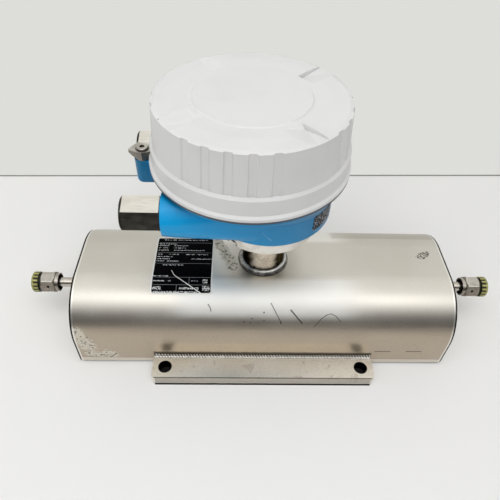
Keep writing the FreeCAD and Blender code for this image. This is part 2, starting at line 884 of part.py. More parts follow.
parts = {
    "sensor_wrap": make_sensor_wrap(),
    "end_plate_left": make_end_plate(-1),
    "end_plate_right": make_end_plate(1),
    "mounting_bar_front": make_mounting_bar(-1),
    "mounting_bar_rear": make_mounting_bar(1),
    "bar_weld_front": make_bar_weld(-1),
    "bar_weld_rear": make_bar_weld(1),
    "gland_left": make_gland(-1),
    "gland_right": make_gland(1),
    "nut_left": make_nut(-1),
    "nut_right": make_nut(1),
    "protector_left": make_protector(-1),
    "protector_right": make_protector(1),
    "flow_tube": make_flow_tube(),
    "tube_carrier": make_tube_carrier(),
    "carrier_clamp_left": make_carrier_clamp(-1),
    "carrier_clamp_right": make_carrier_clamp(1),
    "drive_coil": make_coil(0.0, drive_coil_r),
    "drive_magnet": make_magnet(0.0),
    "pickup_coil_left": make_coil(-pickup_x, pickup_coil_r),
    "pickup_coil_right": make_coil(pickup_x, pickup_coil_r),
    "pickup_magnet_left": make_magnet(-pickup_x),
    "pickup_magnet_right": make_magnet(pickup_x),
    "temperature_sensor": make_temperature_sensor(),
    "neck_weld": make_neck_weld(),
    "neck_tube": make_neck_tube(),
    "neck_flange": make_neck_flange(),
    "flange_screws": make_flange_screws(),
    "feedthrough": make_feedthrough(),
    "transmitter_body": make_transmitter_body(),
    "adapter_front": make_adapter(-1),
    "adapter_rear": make_adapter(1),
    "adapter_seals": make_adapter_seals(),
    "lid": make_lid(),
    "lid_gasket": make_lid_gasket(),
    "lid_clamp": make_lid_clamp(),
    "clamp_screw": make_clamp_screw(),
    "electronics_carrier": make_electronics_carrier(),
    "power_board": make_board(lower_board_z),
    "signal_board": make_board(upper_board_z),
    "board_spacers": make_board_spacers(),
    "terminal_block": make_terminal_block(),
    "nameplate": make_nameplate(),
    "side_label": make_side_label(),
}

os.makedirs("parts", exist_ok=True)
for name, shape in parts.items():
    shape.exportStep("parts/" + name + ".step")
    print(name, "solids", len(shape.Solids), "valid", shape.isValid(), "volume", round(shape.Volume, 1))
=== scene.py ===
import math

import bpy
from mathutils import Matrix, Vector


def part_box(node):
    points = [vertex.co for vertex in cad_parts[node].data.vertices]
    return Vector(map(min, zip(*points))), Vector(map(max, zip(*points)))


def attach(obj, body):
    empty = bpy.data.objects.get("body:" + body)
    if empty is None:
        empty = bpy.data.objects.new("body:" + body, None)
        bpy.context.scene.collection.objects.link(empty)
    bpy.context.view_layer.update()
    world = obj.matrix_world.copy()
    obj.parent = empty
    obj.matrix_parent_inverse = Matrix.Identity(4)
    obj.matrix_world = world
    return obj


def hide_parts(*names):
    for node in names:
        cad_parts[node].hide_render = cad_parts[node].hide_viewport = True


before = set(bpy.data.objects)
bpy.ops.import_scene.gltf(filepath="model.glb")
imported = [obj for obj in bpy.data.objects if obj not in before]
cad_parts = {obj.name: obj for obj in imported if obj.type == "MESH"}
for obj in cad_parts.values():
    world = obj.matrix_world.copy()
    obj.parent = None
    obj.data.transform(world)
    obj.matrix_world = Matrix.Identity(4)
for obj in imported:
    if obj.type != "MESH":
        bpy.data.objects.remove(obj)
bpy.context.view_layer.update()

# Camera, as solved from the photograph's edges
CAMERA_PLACE = (-0.0245, -0.2766, 0.3642)
CAMERA_YAW = -0.0435
CAMERA_PITCH = 0.7988
CAMERA_ROLL = -0.0447
CAMERA_FOCAL = 34.56
SENSOR_WIDTH = 36.0

# Stage: a pale table with a wall behind it, and what metal sees of them past the camera's view
STAGE_SIZE = 6.0
WALL_Y = 0.2098
WALL_TURN = 0.031
WALL_GLOW_UP = (0.33, 0.40)
WALL_GLOW = (1.0, 1.0, 0.98)
WALL_COLOUR = (0.725, 0.725, 0.70)
ROOM_COLOUR = (0.80, 0.795, 0.785)
FLOOR_COLOUR = (0.86, 0.855, 0.845)
FLOOR_FADE = (-0.36, -0.46)
FLOOR_FAR_COLOUR = (0.03, 0.03, 0.03)

# Painted shade on the table: a grey strip in the gap below the wall, dark discs under the bar holes, and a
# painted contact shadow along the front bar
GAP_SHADE_COLOUR = (0.30, 0.30, 0.28)
GAP_WIDTH = 0.0026
GAP_LIFT = 0.0002
HOLE_SHADE_COLOUR = (0.02, 0.018, 0.017)
HOLE_SHADE_LIFT = 0.0003
CONTACT_SHADOW_SIZE = (0.179, 0.0018)
CONTACT_SHADOW_PLACE = (0, -0.0781, 0.0002)

# Room light that metal sees: its strength, and the parts of a direction at which it turns bright
ROOM_LOW = 0.08
ROOM_HIGH = 1.0
ROOM_UPWARD = (0.38, 0.80)
ROOM_BACKWARD = (0.15, 0.60)

# Lamps: place, target, size, power, and whether metal shows them
LAMPS = {
    "overhead": ((0.0, 0.10, 1.3), (0.0, 0.0, 0.1), (1.6, 1.0), 4.6, False),
    "front_top": ((0.0, -0.55, 1.25), (0.0, -0.05, 0.06), (1.5, 0.5), 3.0, True),
    "front_fill": ((-0.15, -1.25, 0.75), (-0.02, 0.0, 0.12), (1.6, 0.9), 5.2, False),
    "left_fill": ((-1.30, -0.40, 0.70), (-0.05, 0.0, 0.14), (1.0, 0.8), 1.5, False),
}

# Housing's nose: centre of its curve in y and z, and its radius on the sheet and on the nameplate
NOSE_CENTRE = (-0.0173, 0.0285)
SHEET_RADIUS = 0.0405
PLATE_RADIUS = 0.0409

# Wear that the photograph shows, as places on the object in metres: scratches have a half width
HOUSING_SCRATCHES = [
    ((0.0939, -0.0578, 0.0188), (0.1066, -0.0578, 0.0190), 0.00030),
    ((0.1202, -0.0578, 0.0192), (0.1329, -0.0578, 0.0193), 0.00030),
    ((-0.0416, 0.0134, 0.0694), (-0.0309, 0.0048, 0.0694), 0.00030),
    ((-0.0282, -0.0076, 0.0694), (-0.0262, -0.0047, 0.0694), 0.00035),
    ((-0.0303, -0.0112, 0.0694), (-0.0288, -0.0092, 0.0694), 0.00035),
    ((-0.0246, -0.0120, 0.0694), (-0.0226, -0.0098, 0.0694), 0.00030),
]

# Scratches on the nose: x and degrees down from its top at each bend, and half width
NOSE_SCRATCHES = [
    (((0.0044, 35.5), (0.0126, 57.5)), 0.00020),
    (((0.0204, 43.2), (0.0295, 58.2)), 0.00035),
    (((0.0393, 62.7), (0.0450, 52.5), (0.0500, 47.5), (0.0530, 47.0), (0.0565, 49.5), (0.0607, 56.4)), 0.00017),
    (((-0.0456, 37.4), (-0.0440, 41.0), (-0.0432, 45.0)), 0.00022),
]
NOSE_STRETCH = 5.0
HOUSING_DOTS = [
    ((-0.0169, -0.0515, 0.0504), 0.0008),
    ((-0.0121, -0.0517, 0.0500), 0.0006),
    ((-0.0106, -0.0498, 0.0528), 0.0007),
    ((-0.0011, -0.0466, 0.0566), 0.0008),
    ((-0.0010, -0.0507, 0.0515), 0.0006),
    ((0.0126, -0.0518, 0.0499), 0.0009),
    ((0.0622, 0.0280, 0.0676), 0.0006),
]
LABEL_SCRATCH = [
    ((-0.0765, -0.0142, 0.0695), (-0.0743, -0.0186, 0.0694), 0.00013),
    ((-0.0743, -0.0186, 0.0694), (-0.0717, -0.0211, 0.0692), 0.00016),
    ((-0.0717, -0.0211, 0.0692), (-0.0639, -0.0267, 0.0683), 0.00019),
    ((-0.0639, -0.0267, 0.0683), (-0.0555, -0.0324, 0.0665), 0.00022),
    ((-0.0555, -0.0324, 0.0665), (-0.0512, -0.0351, 0.0653), 0.00024),
]

# Pale residue and dark smear on the housing: start and end of each patch, and its half width
RESIDUE = [
    ((-0.1500, -0.0578, 0.0400), (-0.1440, -0.0578, 0.0220), 0.0085),
    ((-0.1450, -0.0578, 0.0120), (-0.1360, -0.0578, 0.0120), 0.0055),
    ((-0.1300, -0.0578, 0.0140), (-0.1250, -0.0578, 0.0110), 0.0065),
    ((-0.0400, 0.0200, 0.0690), (-0.0320, 0.0040, 0.0690), 0.0065),
    ((-0.0320, 0.0040, 0.0690), (-0.0255, -0.0100, 0.0690), 0.0058),
]
SMEAR = [((0.1345, 0.0050, 0.0690), (0.1400, 0.0085, 0.0690), 0.0044)]
BLUE_MARKS = [
    ((-0.0085, -0.0453, 0.1451), (-0.0004, -0.0459, 0.1363), 0.00012),
]
LID_CHIPS = [
    ((-0.0700, -0.0280, 0.2155), (-0.0692, -0.0292, 0.2150), 0.0006),
    ((-0.0640, -0.0380, 0.2150), (-0.0570, -0.0440, 0.2148), 0.00025),
]

# Where the housing's tone changes, each as the start and the end of a soft step:
# heights of the darker lower half, flecks, painted highlight in the band under the head, painted shadow and heat
# tint above the weld, painted shadow and painted highlight of the folded lip, and painted contact shadow,
# distances from the neck, from the middle and from the axis, and the rear bend
NECK_FOOT = (-0.0012, 0.0015, 0.0690)
LOWER_DARKENING_TOP = (0.057, 0.042)
FLECKS_TOP = (0.060, 0.050)
NECK_SHADE = (0.038, 0.021)
NOSE_HIGHLIGHT_SIDE = (0.085, 0.055)
NOSE_HIGHLIGHT_TOP = (0.0692, 0.0684)
NOSE_HIGHLIGHT_FOOT = (0.050, 0.057)
WELD_SHADOW_AND_TINT_TOP = (0.0186, 0.0166)
WELD_SHADOW_AND_TINT_SIDE = (0.0925, 0.0905)
LIP_SHADOW = (0.0084, 0.0078)
LIP_HIGHLIGHT_TOP = (0.0075, 0.0069)
CONTACT_SHADOW = (0.0019, 0.0013)
REAR_BEND_BACK = (0.0276, 0.0280)
REAR_BEND_LEFT = (0.058, 0.064)
SHEET_END_IN = (0.1519, 0.1522)
SHEET_END_OUT = (0.1534, 0.1532)

# Nameplate: angle over which it follows the nose, its rules, and its bare bars and fields as shares of its size
NOSE_ANGLE = math.radians(26.5)
RULE_PLACES = (0.105, 0.30, 0.505, 0.755, 0.87)
RULE_UPRIGHTS = ((0.62, 0.755, 0.87), (0.42, 0.87, 0.965))
BARS = [
    (0.050, 0.12, 0.88), (0.130, 0.05, 0.36), (0.165, 0.05, 0.22), (0.165, 0.30, 0.55),
    (0.210, 0.05, 0.20), (0.210, 0.30, 0.53), (0.255, 0.05, 0.22), (0.255, 0.30, 0.84),
    (0.335, 0.05, 0.12), (0.335, 0.22, 0.40), (0.335, 0.52, 0.90), (0.380, 0.04, 0.30),
    (0.420, 0.04, 0.26), (0.420, 0.62, 0.97), (0.462, 0.04, 0.18), (0.462, 0.22, 0.42),
    (0.535, 0.16, 0.50), (0.735, 0.02, 0.27), (0.812, 0.03, 0.32), (0.812, 0.66, 0.76),
]
FIELDS = [
    (0.895, 0.945, 0.03, 0.17), (0.905, 0.935, 0.46, 0.78), (0.885, 0.955, 0.84, 0.96),
    (0.785, 0.845, 0.84, 0.92), (0.962, 0.982, 0.05, 0.82),
]
RULE_HALF = 0.00013
RULE_MARGIN = 0.0022
BAR_HALF = 0.00042
FIELD_CORNER = 0.0005
BORDER = 0.0011
BORDER_CORNER = 0.0016

# Mounting bars: their holes, and the soft steps of the painted shade in the holes, on the edge and on the front,
# of the painted highlight on the lower strip and of the painted contact shadow
BAR_HOLES = [(x, y) for x in (-0.0815, 0.0815) for y in (-0.0681, 0.0681)]
BAR_HOLE_RADIUS = 0.0055
BAR_HOLE_SHADE = (0.0057, 0.00555)
BAR_TOP = 0.010
BAR_EDGE_SHADE_OUT = (0.0774, 0.0778)
BAR_EDGE_SHADE_UP = (0.0088, 0.0093)
BAR_FRONT_SHADE = (0.0779, 0.0781)
BAR_LOWER_HIGHLIGHT = (0.0030, 0.0020)
BAR_CONTACT_SHADOW = (0.0011, 0.0007)

# Weld beads along the bars
HOUSING_SIDE = 0.0578
WELD_HALF = 0.091
WELD_OUT = 0.0026
WELD_UP = 0.0034
WELD_ROWS = 9
RIPPLE_STEPS = 6
RIPPLE_PITCH = 0.0024
RIPPLE_HEIGHT = 0.00034
RIPPLE_LEAN = 1.15

# Ring weld at the neck: soft steps of the painted highlight on its crown, of its dark inner edge and of its dark
# toe
RING_HIGHLIGHT_IN = (0.0180, 0.0185)
RING_HIGHLIGHT_OUT = (0.0194, 0.0189)
RING_HIGHLIGHT_LEFT = (-0.018, 0.004)
RING_INNER = (0.0175, 0.0172)
RING_TOE = (0.0700, 0.0694)

# Union nuts: height of their axis, angle of an edge above the horizontal, and soft steps of the painted highlight
# on the edges and of the painted shade in the bore
FLOW_Z = 0.0363
NUT_HIGHLIGHT_ANGLE = math.radians(50)
NUT_HIGHLIGHT_TURN = (0.05, 0.02)
NUT_HIGHLIGHT_OUT = (0.0094, 0.0096)
NUT_BORE_SHADE = (0.0073, 0.0070)
NUT_BORE_SHADE_IN = (0.1835, 0.1828)

# Thread protectors: soft steps of the painted shade at the grip grooves' crest, at the end face and at the neck
CAP_GROOVE_SHADE = (0.0086, 0.0084)
CAP_FACE = (0.1990, 0.1986)
CAP_NECK_SHADE = (0.1945, 0.1942)

# Head: lid clamp's screw with the two edges of the dark ring around it, adapter ends, painted shadow at the lid
# seam, painted shade of the blue body towards the right, painted shade in the flange's notch and on a shaded lug
CLAMP_RING = ((-0.0888, 0.0015, 0), (0.0041, 0.0043), (0.0048, 0.0046))
ADAPTER_END = (-0.0980, -0.0984)
LID_SEAM_SHADOW = (0.1723, 0.1717)
BLUE_SHADE_RIGHTWARD = (-0.075, 0.045)
FLANGE_NOTCH_SHADE = [((-0.0262, -0.0249, 0.1140), 0.0062)]
SHADED_LUG = [((-0.0888, -0.0045, 0.1480), (-0.0888, -0.0045, 0.1660), 0.0100)]

# Winding of the coils
WIRE_PITCH = 0.0004


class Recipe:
    """A material in the making, with short calls for the nodes that it needs."""

    def __init__(self, name, metallic=0.0, roughness=0.5):
        self.material = bpy.data.materials.new(name)
        self.material.use_nodes = True
        self.tree = self.material.node_tree
        self.shader = self.tree.nodes["Principled BSDF"]
        self.shader.inputs["Metallic"].default_value = metallic
        self.shader.inputs["Roughness"].default_value = roughness
        self.place = self.add("ShaderNodeTexCoord").outputs["Object"]
        self.surface = self.add("ShaderNodeNewGeometry")

    def add(self, kind, **settings):
        node = self.tree.nodes.new(kind)
        for key, value in settings.items():
            setattr(node, key, value)
        return node

    def feed(self, socket, value):
        """Links a socket to a socket, or sets a plain value on it."""
        if isinstance(value, bpy.types.NodeSocket):
            self.tree.links.new(value, socket)
        else:
            socket.default_value = value

    def sum(self, operation, first, second=0.0, third=0.0):
        """One step of arithmetic."""
        node = self.add("ShaderNodeMath", operation=operation)
        for socket, value in zip(node.inputs, (first, second, third)):
            self.feed(socket, value)
        return node.outputs[0]

    def vector(self, operation, first, second=(0, 0, 0), scale=1.0):
        """One step of arithmetic with vectors."""
        node = self.add("ShaderNodeVectorMath", operation=operation)
        self.feed(node.inputs[0], first)
        self.feed(node.inputs[1], second)
        if operation == "SCALE":
            self.feed(node.inputs["Scale"], scale)
        return node.outputs["Value"] if operation in ("DOT_PRODUCT", "LENGTH") else node.outputs["Vector"]

    def axes(self, vector=None):
        """The three parts of a vector, the place on the object by default."""
        node = self.add("ShaderNodeSeparateXYZ")
        self.feed(node.inputs[0], self.place if vector is None else vector)
        return node.outputs

    def facing(self):
        """The three parts of the direction that the surface faces."""
        return self.axes(self.surface.outputs["Normal"])

    def out_from(self, centre):
        """Distance from the upright axis through a place."""
        offset = self.vector("MULTIPLY", self.vector("SUBTRACT", self.place, centre), (1, 1, 0))
        return self.vector("LENGTH", offset)

    def from_flow_axis(self):
        """Offset from the flow axis in y and z, and the distance from it."""
        _, y, z = self.axes()
        height = self.sum("SUBTRACT", z, FLOW_Z)
        squares = self.sum("ADD", self.sum("MULTIPLY", y, y), self.sum("MULTIPLY", height, height))
        return y, height, self.sum("SQRT", squares)

    def noise(self, size, detail=3.0, stretch=(1, 1, 1), place=None, distortion=0.0):
        """Noise with features of about the given size in metres."""
        mapping = self.add("ShaderNodeMapping")
        self.feed(mapping.inputs["Vector"], self.place if place is None else place)
        mapping.inputs["Scale"].default_value = stretch
        node = self.add("ShaderNodeTexNoise")
        self.feed(node.inputs["Vector"], mapping.outputs[0])
        node.inputs["Scale"].default_value = 1.0 / size
        node.inputs["Detail"].default_value = detail
        node.inputs["Distortion"].default_value = distortion
        return node.outputs["Fac"]

    def step(self, value, start, end, low=0.0, high=1.0):
        """Soft step from low at start to high at end."""
        node = self.add("ShaderNodeMapRange", interpolation_type="SMOOTHSTEP")
        self.feed(node.inputs["Value"], value)
        node.inputs["From Min"].default_value = start
        node.inputs["From Max"].default_value = end
        node.inputs["To Min"].default_value = low
        node.inputs["To Max"].default_value = high
        return node.outputs[0]

    def all_of(self, first, *masks):
        """One where every mask is one."""
        for mask in masks:
            first = self.sum("MULTIPLY", first, mask)
        return first

    def any_of(self, masks):
        """One where any mask is one."""
        total = 0.0
        for mask in masks:
            total = self.sum("MAXIMUM", total, mask)
        return total

    def mix(self, factor, first, second, share=1.0):
        """Blend of two colours, by a share of the factor."""
        if share != 1.0:
            factor = self.sum("MULTIPLY", factor, share)
        node = self.add("ShaderNodeMix", data_type="RGBA")
        self.feed(node.inputs["Factor"], factor)
        sockets = [s for s in node.inputs if s.type == "RGBA"]
        for socket, value in zip(sockets, (first, second)):
            self.feed(socket, value if isinstance(value, bpy.types.NodeSocket) else (*value, 1.0))
        return [s for s in node.outputs if s.type == "RGBA"][0]

    def bump(self, height, distance, strength=1.0, onto=None):
        """Direction of a surface with the given height pressed into it."""
        node = self.add("ShaderNodeBump")
        self.feed(node.inputs["Height"], height)
        node.inputs["Distance"].default_value = distance
        node.inputs["Strength"].default_value = strength
        if onto is not None:
            self.feed(node.inputs["Normal"], onto)
        return node.outputs[0]

    def distance(self, start, end):
        """Distance from a straight stretch between two places."""
        run = Vector(end) - Vector(start)
        offset = self.vector("SUBTRACT", self.place, start)
        along = self.sum("DIVIDE", self.vector("DOT_PRODUCT", offset, tuple(run)), run.length_squared)
        along = self.sum("MINIMUM", self.sum("MAXIMUM", along, 0.0), 1.0)
        nearest = self.vector("SCALE", tuple(run), scale=along)
        return self.vector("LENGTH", self.vector("SUBTRACT", offset, nearest))

    def scratches(self, marks):
        """One along each straight scratch of a list, and nought beside it."""
        return self.any_of(
            self.step(self.distance(start, end), half_width, half_width * 2.2, 1.0, 0.0)
            for start, end, half_width in marks
        )

    def patches(self, marks, ragged):
        """One inside each patch of a list, with an edge made ragged by the given noise."""
        total = 0.0
        for start, end, half_width in marks:
            reach = self.sum("ADD", self.distance(start, end), self.sum("MULTIPLY", ragged, 1.6 * half_width))
            total = self.sum("MAXIMUM", total, self.step(reach, 1.62 * half_width, 1.45 * half_width))
        return total

    def spots(self, marks):
        """One inside each round spot of a list."""
        total = 0.0
        for place, radius in marks:
            distance = self.vector("LENGTH", self.vector("SUBTRACT", self.place, place))
            total = self.sum("MAXIMUM", total, self.step(distance, radius * 0.6, radius, 1.0, 0.0))
        return total

    def nearness(self, reach):
        """One in crevices and beside other pieces, nought in the open."""
        node = self.add("ShaderNodeAmbientOcclusion", samples=4)
        node.inputs["Distance"].default_value = reach
        return self.sum("SUBTRACT", 1.0, node.outputs["AO"])

    def finish(self, colour=None, roughness=None, normal=None, metallic=None):
        """Feeds the shader and gives the material."""
        for key, value in (
            ("Base Color", colour),
            ("Roughness", roughness),
            ("Normal", normal),
            ("Metallic", metallic),
        ):
            if value is not None:
                self.feed(self.shader.inputs[key], value)
        return self.material


# Metals


def nose_marks():
    """Short straight stretches that follow the scratches over the housing's nose."""
    centre_y, centre_z = NOSE_CENTRE

    def on_nose(x, degrees):
        turn = math.radians(degrees)
        return x, centre_y - SHEET_RADIUS * math.sin(turn), centre_z + SHEET_RADIUS * math.cos(turn)

    marks = []
    for bends, half_width in NOSE_SCRATCHES:
        for (x0, turn0), (x1, turn1) in zip(bends, bends[1:]):
            pieces = max(1, round(abs(turn1 - turn0) / NOSE_STRETCH))
            stops = [
                on_nose(x0 + (x1 - x0) * part / pieces, turn0 + (turn1 - turn0) * part / pieces)
                for part in range(pieces + 1)
            ]
            marks += [(start, end, half_width) for start, end in zip(stops, stops[1:])]
    return marks


def satin_steel():
    """Blasted stainless sheet of the sensor housing, with its stains and scratches, painted shade and painted
    highlights.
    """
    steel = Recipe("satin_steel", metallic=1.0)
    x, y, z = steel.axes()
    from_middle = steel.sum("ABSOLUTE", x)
    cloud = steel.noise(0.045, 4.0)
    grain = steel.noise(0.0006, 2.0, stretch=(0.6, 1, 1))
    ragged = steel.noise(0.005, 6.0, distortion=0.8)
    colour = steel.mix(steel.step(cloud, 0.35, 0.65), (0.705, 0.67, 0.60), (0.745, 0.715, 0.655))
    colour = steel.mix(steel.step(grain, 0.35, 0.7), colour, (0.42, 0.38, 0.32), 0.12)

    # Lower half darker and warmer, with flecks; painted shade around the neck, and a painted highlight in the
    # band under the head
    colour = steel.mix(steel.step(z, *LOWER_DARKENING_TOP), colour, (0.51, 0.435, 0.345))
    flecks = steel.all_of(steel.step(z, *FLECKS_TOP), steel.step(steel.noise(0.0011, 3.0), 0.60, 0.70))
    colour = steel.mix(flecks, colour, (0.20, 0.17, 0.14), 0.34)
    around_neck = steel.vector("LENGTH", steel.vector("SUBTRACT", steel.place, NECK_FOOT))
    colour = steel.mix(steel.step(around_neck, *NECK_SHADE), colour, (0.30, 0.28, 0.235), 0.42)
    # Painted highlight in the band under the head
    nose_highlight = steel.all_of(
        steel.step(from_middle, *NOSE_HIGHLIGHT_SIDE), steel.step(z, *NOSE_HIGHLIGHT_TOP), steel.step(z, *NOSE_HIGHLIGHT_FOOT)
    )
    colour = steel.mix(nose_highlight, colour, (1.0, 0.985, 0.94), 0.85)

    # Residue with its specks, scratches, dots and smear
    residue = steel.patches(RESIDUE, ragged)
    colour = steel.mix(residue, colour, (0.69, 0.645, 0.55), 0.9)
    specks = steel.all_of(residue, steel.step(steel.noise(0.0024, 5.0), 0.53, 0.59))
    colour = steel.mix(specks, colour, (0.14, 0.12, 0.09), 0.75)
    smear = steel.all_of(steel.patches(SMEAR, ragged), steel.step(steel.noise(0.0016, 4.0), 0.45, 0.52))
    dark = steel.any_of([steel.scratches(HOUSING_SCRATCHES + nose_marks()), steel.spots(HOUSING_DOTS), smear])
    colour = steel.mix(dark, colour, (0.05, 0.045, 0.04), 0.85)

    # Painted shadow and heat tint above the weld, painted shadow and painted highlight of the foot's lip, painted
    # contact shadow along the foot, tinted rear bend and bright sheet ends
    weld_shadow_z = steel.sum("ADD", z, steel.sum("MULTIPLY", ragged, 0.002))
    weld_shadow_and_tint = steel.all_of(steel.step(weld_shadow_z, *WELD_SHADOW_AND_TINT_TOP), steel.step(from_middle, *WELD_SHADOW_AND_TINT_SIDE))
    colour = steel.mix(weld_shadow_and_tint, colour, (0.07, 0.058, 0.047), 0.9)
    lip_z = steel.sum("ADD", z, steel.sum("MULTIPLY", ragged, 0.0006))
    colour = steel.mix(steel.step(lip_z, *LIP_SHADOW), colour, (0.16, 0.13, 0.10), 0.45)
    # Painted highlight along the folded lip
    colour = steel.mix(steel.step(z, *LIP_HIGHLIGHT_TOP), colour, (0.80, 0.75, 0.665), 0.80)
    # Painted contact shadow along the foot
    colour = steel.mix(steel.step(z, *CONTACT_SHADOW), colour, (0.02, 0.017, 0.014), 0.95)
    rear_bend = steel.all_of(steel.step(y, *REAR_BEND_BACK), steel.step(x, *REAR_BEND_LEFT))
    colour = steel.mix(rear_bend, colour, (0.30, 0.25, 0.19), 0.28)
    sheet_end = steel.all_of(steel.step(from_middle, *SHEET_END_IN), steel.step(from_middle, *SHEET_END_OUT))
    colour = steel.mix(sheet_end, colour, (0.90, 0.88, 0.83), 0.8)

    roughness = steel.step(cloud, 0.3, 0.7, 0.35, 0.41)
    roughness = steel.sum("ADD", roughness, steel.sum("MULTIPLY", residue, 0.28))
    roughness = steel.sum("ADD", roughness, steel.sum("MULTIPLY", nose_highlight, 0.20))
    metallic = steel.sum("SUBTRACT", 1.0, steel.sum("MULTIPLY", residue, 0.65))
    normal = steel.bump(grain, 0.00003, 0.5)
    normal = steel.bump(dark, 0.00006, 0.7, onto=normal)
    return steel.finish(colour, roughness, normal, metallic)


def end_steel():
    """End plates: satin face, and a rim darkened by the weld."""
    steel = Recipe("end_steel", metallic=1.0)
    cloud = steel.noise(0.03, 4.0)
    grain = steel.noise(0.0006, 2.0)
    colour = steel.mix(steel.step(cloud, 0.35, 0.65), (0.62, 0.585, 0.525), (0.66, 0.63, 0.575))
    colour = steel.mix(steel.step(grain, 0.35, 0.7), colour, (0.42, 0.38, 0.32), 0.14)
    rim = steel.step(steel.sum("ABSOLUTE", steel.facing()[0]), 0.9, 0.8)
    colour = steel.mix(rim, colour, (0.012, 0.010, 0.009), 0.97)
    steel.shader.inputs["Specular Tint"].default_value = (0.4, 0.38, 0.35, 1.0)
    return steel.finish(colour, 0.38, steel.bump(grain, 0.00004, 0.5))


def bar_steel():
    """Hot-rolled, blasted flat bar, a little rougher than the sheet, with painted shade in its holes, on its top
    edge and front, a painted highlight low on its front and a painted contact shadow.
    """
    steel = Recipe("bar_steel", metallic=1.0)
    _, y, z = steel.axes()
    outward = steel.sum("ABSOLUTE", y)
    cloud = steel.noise(0.02, 5.0)
    grain = steel.noise(0.0007, 2.0, stretch=(0.4, 1, 1))
    colour = steel.mix(steel.step(cloud, 0.3, 0.7), (0.88, 0.84, 0.745), (0.94, 0.90, 0.815))
    colour = steel.mix(steel.step(grain, 0.4, 0.75), colour, (0.35, 0.31, 0.26), 0.16)
    stain = steel.step(steel.noise(0.008, 6.0, distortion=0.6), 0.60, 0.66)
    colour = steel.mix(stain, colour, (0.40, 0.33, 0.26), 0.30)
    # Painted shade on the top edge and the front, painted highlight low on the front, painted contact shadow at
    # the foot
    painted_edge = steel.all_of(steel.step(outward, *BAR_EDGE_SHADE_OUT), steel.step(z, *BAR_EDGE_SHADE_UP))
    colour = steel.mix(painted_edge, colour, (0.10, 0.085, 0.07), 0.9)
    colour = steel.mix(steel.step(outward, *BAR_FRONT_SHADE), colour, (0.30, 0.265, 0.225), 0.6)
    colour = steel.mix(steel.step(z, *BAR_LOWER_HIGHLIGHT), colour, (0.92, 0.89, 0.83), 0.6)
    colour = steel.mix(steel.step(z, *BAR_CONTACT_SHADOW), colour, (0.03, 0.026, 0.022), 0.9)
    # Painted shade inside the holes
    for hole in BAR_HOLES:
        wall = steel.step(steel.out_from((*hole, 0)), *BAR_HOLE_SHADE)
        colour = steel.mix(wall, colour, (0.008, 0.007, 0.006))
    return steel.finish(colour, steel.step(cloud, 0.3, 0.7, 0.42, 0.50), steel.bump(grain, 0.00005, 0.6))


def weld_metal():
    """Bright weld with painted shade in the valleys between its ripples and towards its top."""
    weld = Recipe("weld_metal", metallic=1.0)
    x, _, z = weld.axes()
    scale = weld.noise(0.0012, 4.0)
    colour = weld.mix(weld.step(scale, 0.35, 0.65), (0.72, 0.68, 0.62), (0.95, 0.92, 0.87))
    # Painted shade: darker in the ripples' valleys and towards the top of the bead
    rise = weld.sum("DIVIDE", weld.sum("SUBTRACT", z, BAR_TOP), WELD_UP)
    ripple = weld.sum("ADD", weld.sum("DIVIDE", x, RIPPLE_PITCH), weld.sum("MULTIPLY", rise, RIPPLE_LEAN))
    ripple = weld.sum("SINE", weld.sum("MULTIPLY", ripple, 2 * math.pi))
    ripple_shade = weld.sum("ADD", weld.sum("MULTIPLY", ripple, 0.85), weld.sum("MULTIPLY", rise, 1.6))
    ripple_shade = weld.sum("ADD", ripple_shade, weld.sum("MULTIPLY", weld.noise(0.004, 4.0), 1.2))
    colour = weld.mix(weld.step(ripple_shade, 1.75, 2.3), colour, (0.07, 0.058, 0.046), 0.92)
    return weld.finish(colour, weld.step(scale, 0.3, 0.7, 0.42, 0.52), weld.bump(scale, 0.00005, 0.5))


def ring_weld():
    """Smooth machine weld at the foot of the neck, with a painted highlight on its crown and dark at both edges.
    """
    weld = Recipe("ring_weld", metallic=1.0)
    x, _, z = weld.axes()
    scale = weld.noise(0.0045, 4.0)
    colour = weld.mix(weld.step(scale, 0.40, 0.60), (0.17, 0.165, 0.155), (0.36, 0.35, 0.33))
    out = weld.out_from(NECK_FOOT)
    # Painted highlight on the crown, fading out towards the left
    crown_highlight = weld.all_of(
        weld.step(out, *RING_HIGHLIGHT_IN), weld.step(out, *RING_HIGHLIGHT_OUT), weld.step(x, *RING_HIGHLIGHT_LEFT)
    )
    colour = weld.mix(crown_highlight, colour, (0.66, 0.66, 0.64))
    colour = weld.mix(weld.step(out, *RING_INNER), colour, (0.02, 0.018, 0.016), 0.9)
    colour = weld.mix(weld.step(z, *RING_TOE), colour, (0.03, 0.028, 0.025), 0.85)
    return weld.finish(colour, 0.36, weld.bump(scale, 0.00003, 0.4))


def turned_steel(name, tint=(0.62, 0.60, 0.57), roughness=0.24, reach=0.002, ring=None):
    """Lathe-finished stainless with painted shade in its crevices; with a ring, it is dark around an upright
    screw and has painted shade on its sides.
    """
    steel = Recipe(name, metallic=1.0)
    lines = steel.noise(0.0009, 2.0, stretch=(1.0, 0.05, 0.05))
    wear = steel.noise(0.008, 5.0)
    darker = tuple(0.72 * part for part in tint)
    colour = steel.mix(steel.step(wear, 0.35, 0.7), tint, darker)
    # Painted shade in crevices and beside other pieces
    colour = steel.mix(steel.step(steel.nearness(reach), 0.35, 0.75), colour, (0.03, 0.026, 0.022), 0.9)
    if ring:
        centre, inner, outer = ring
        out = steel.out_from(centre)
        line = steel.all_of(steel.step(out, *inner), steel.step(out, *outer))
        colour = steel.mix(line, colour, (0.02, 0.018, 0.016), 0.9)
        # Painted shade on the faces that turn away from the top
        colour = steel.mix(steel.step(steel.facing()[2], 0.75, 0.25), colour, (0.10, 0.088, 0.072), 0.65)
    rough = steel.step(wear, 0.3, 0.7, roughness, roughness + 0.1)
    return steel.finish(colour, rough, steel.bump(lines, 0.00002, 0.5))


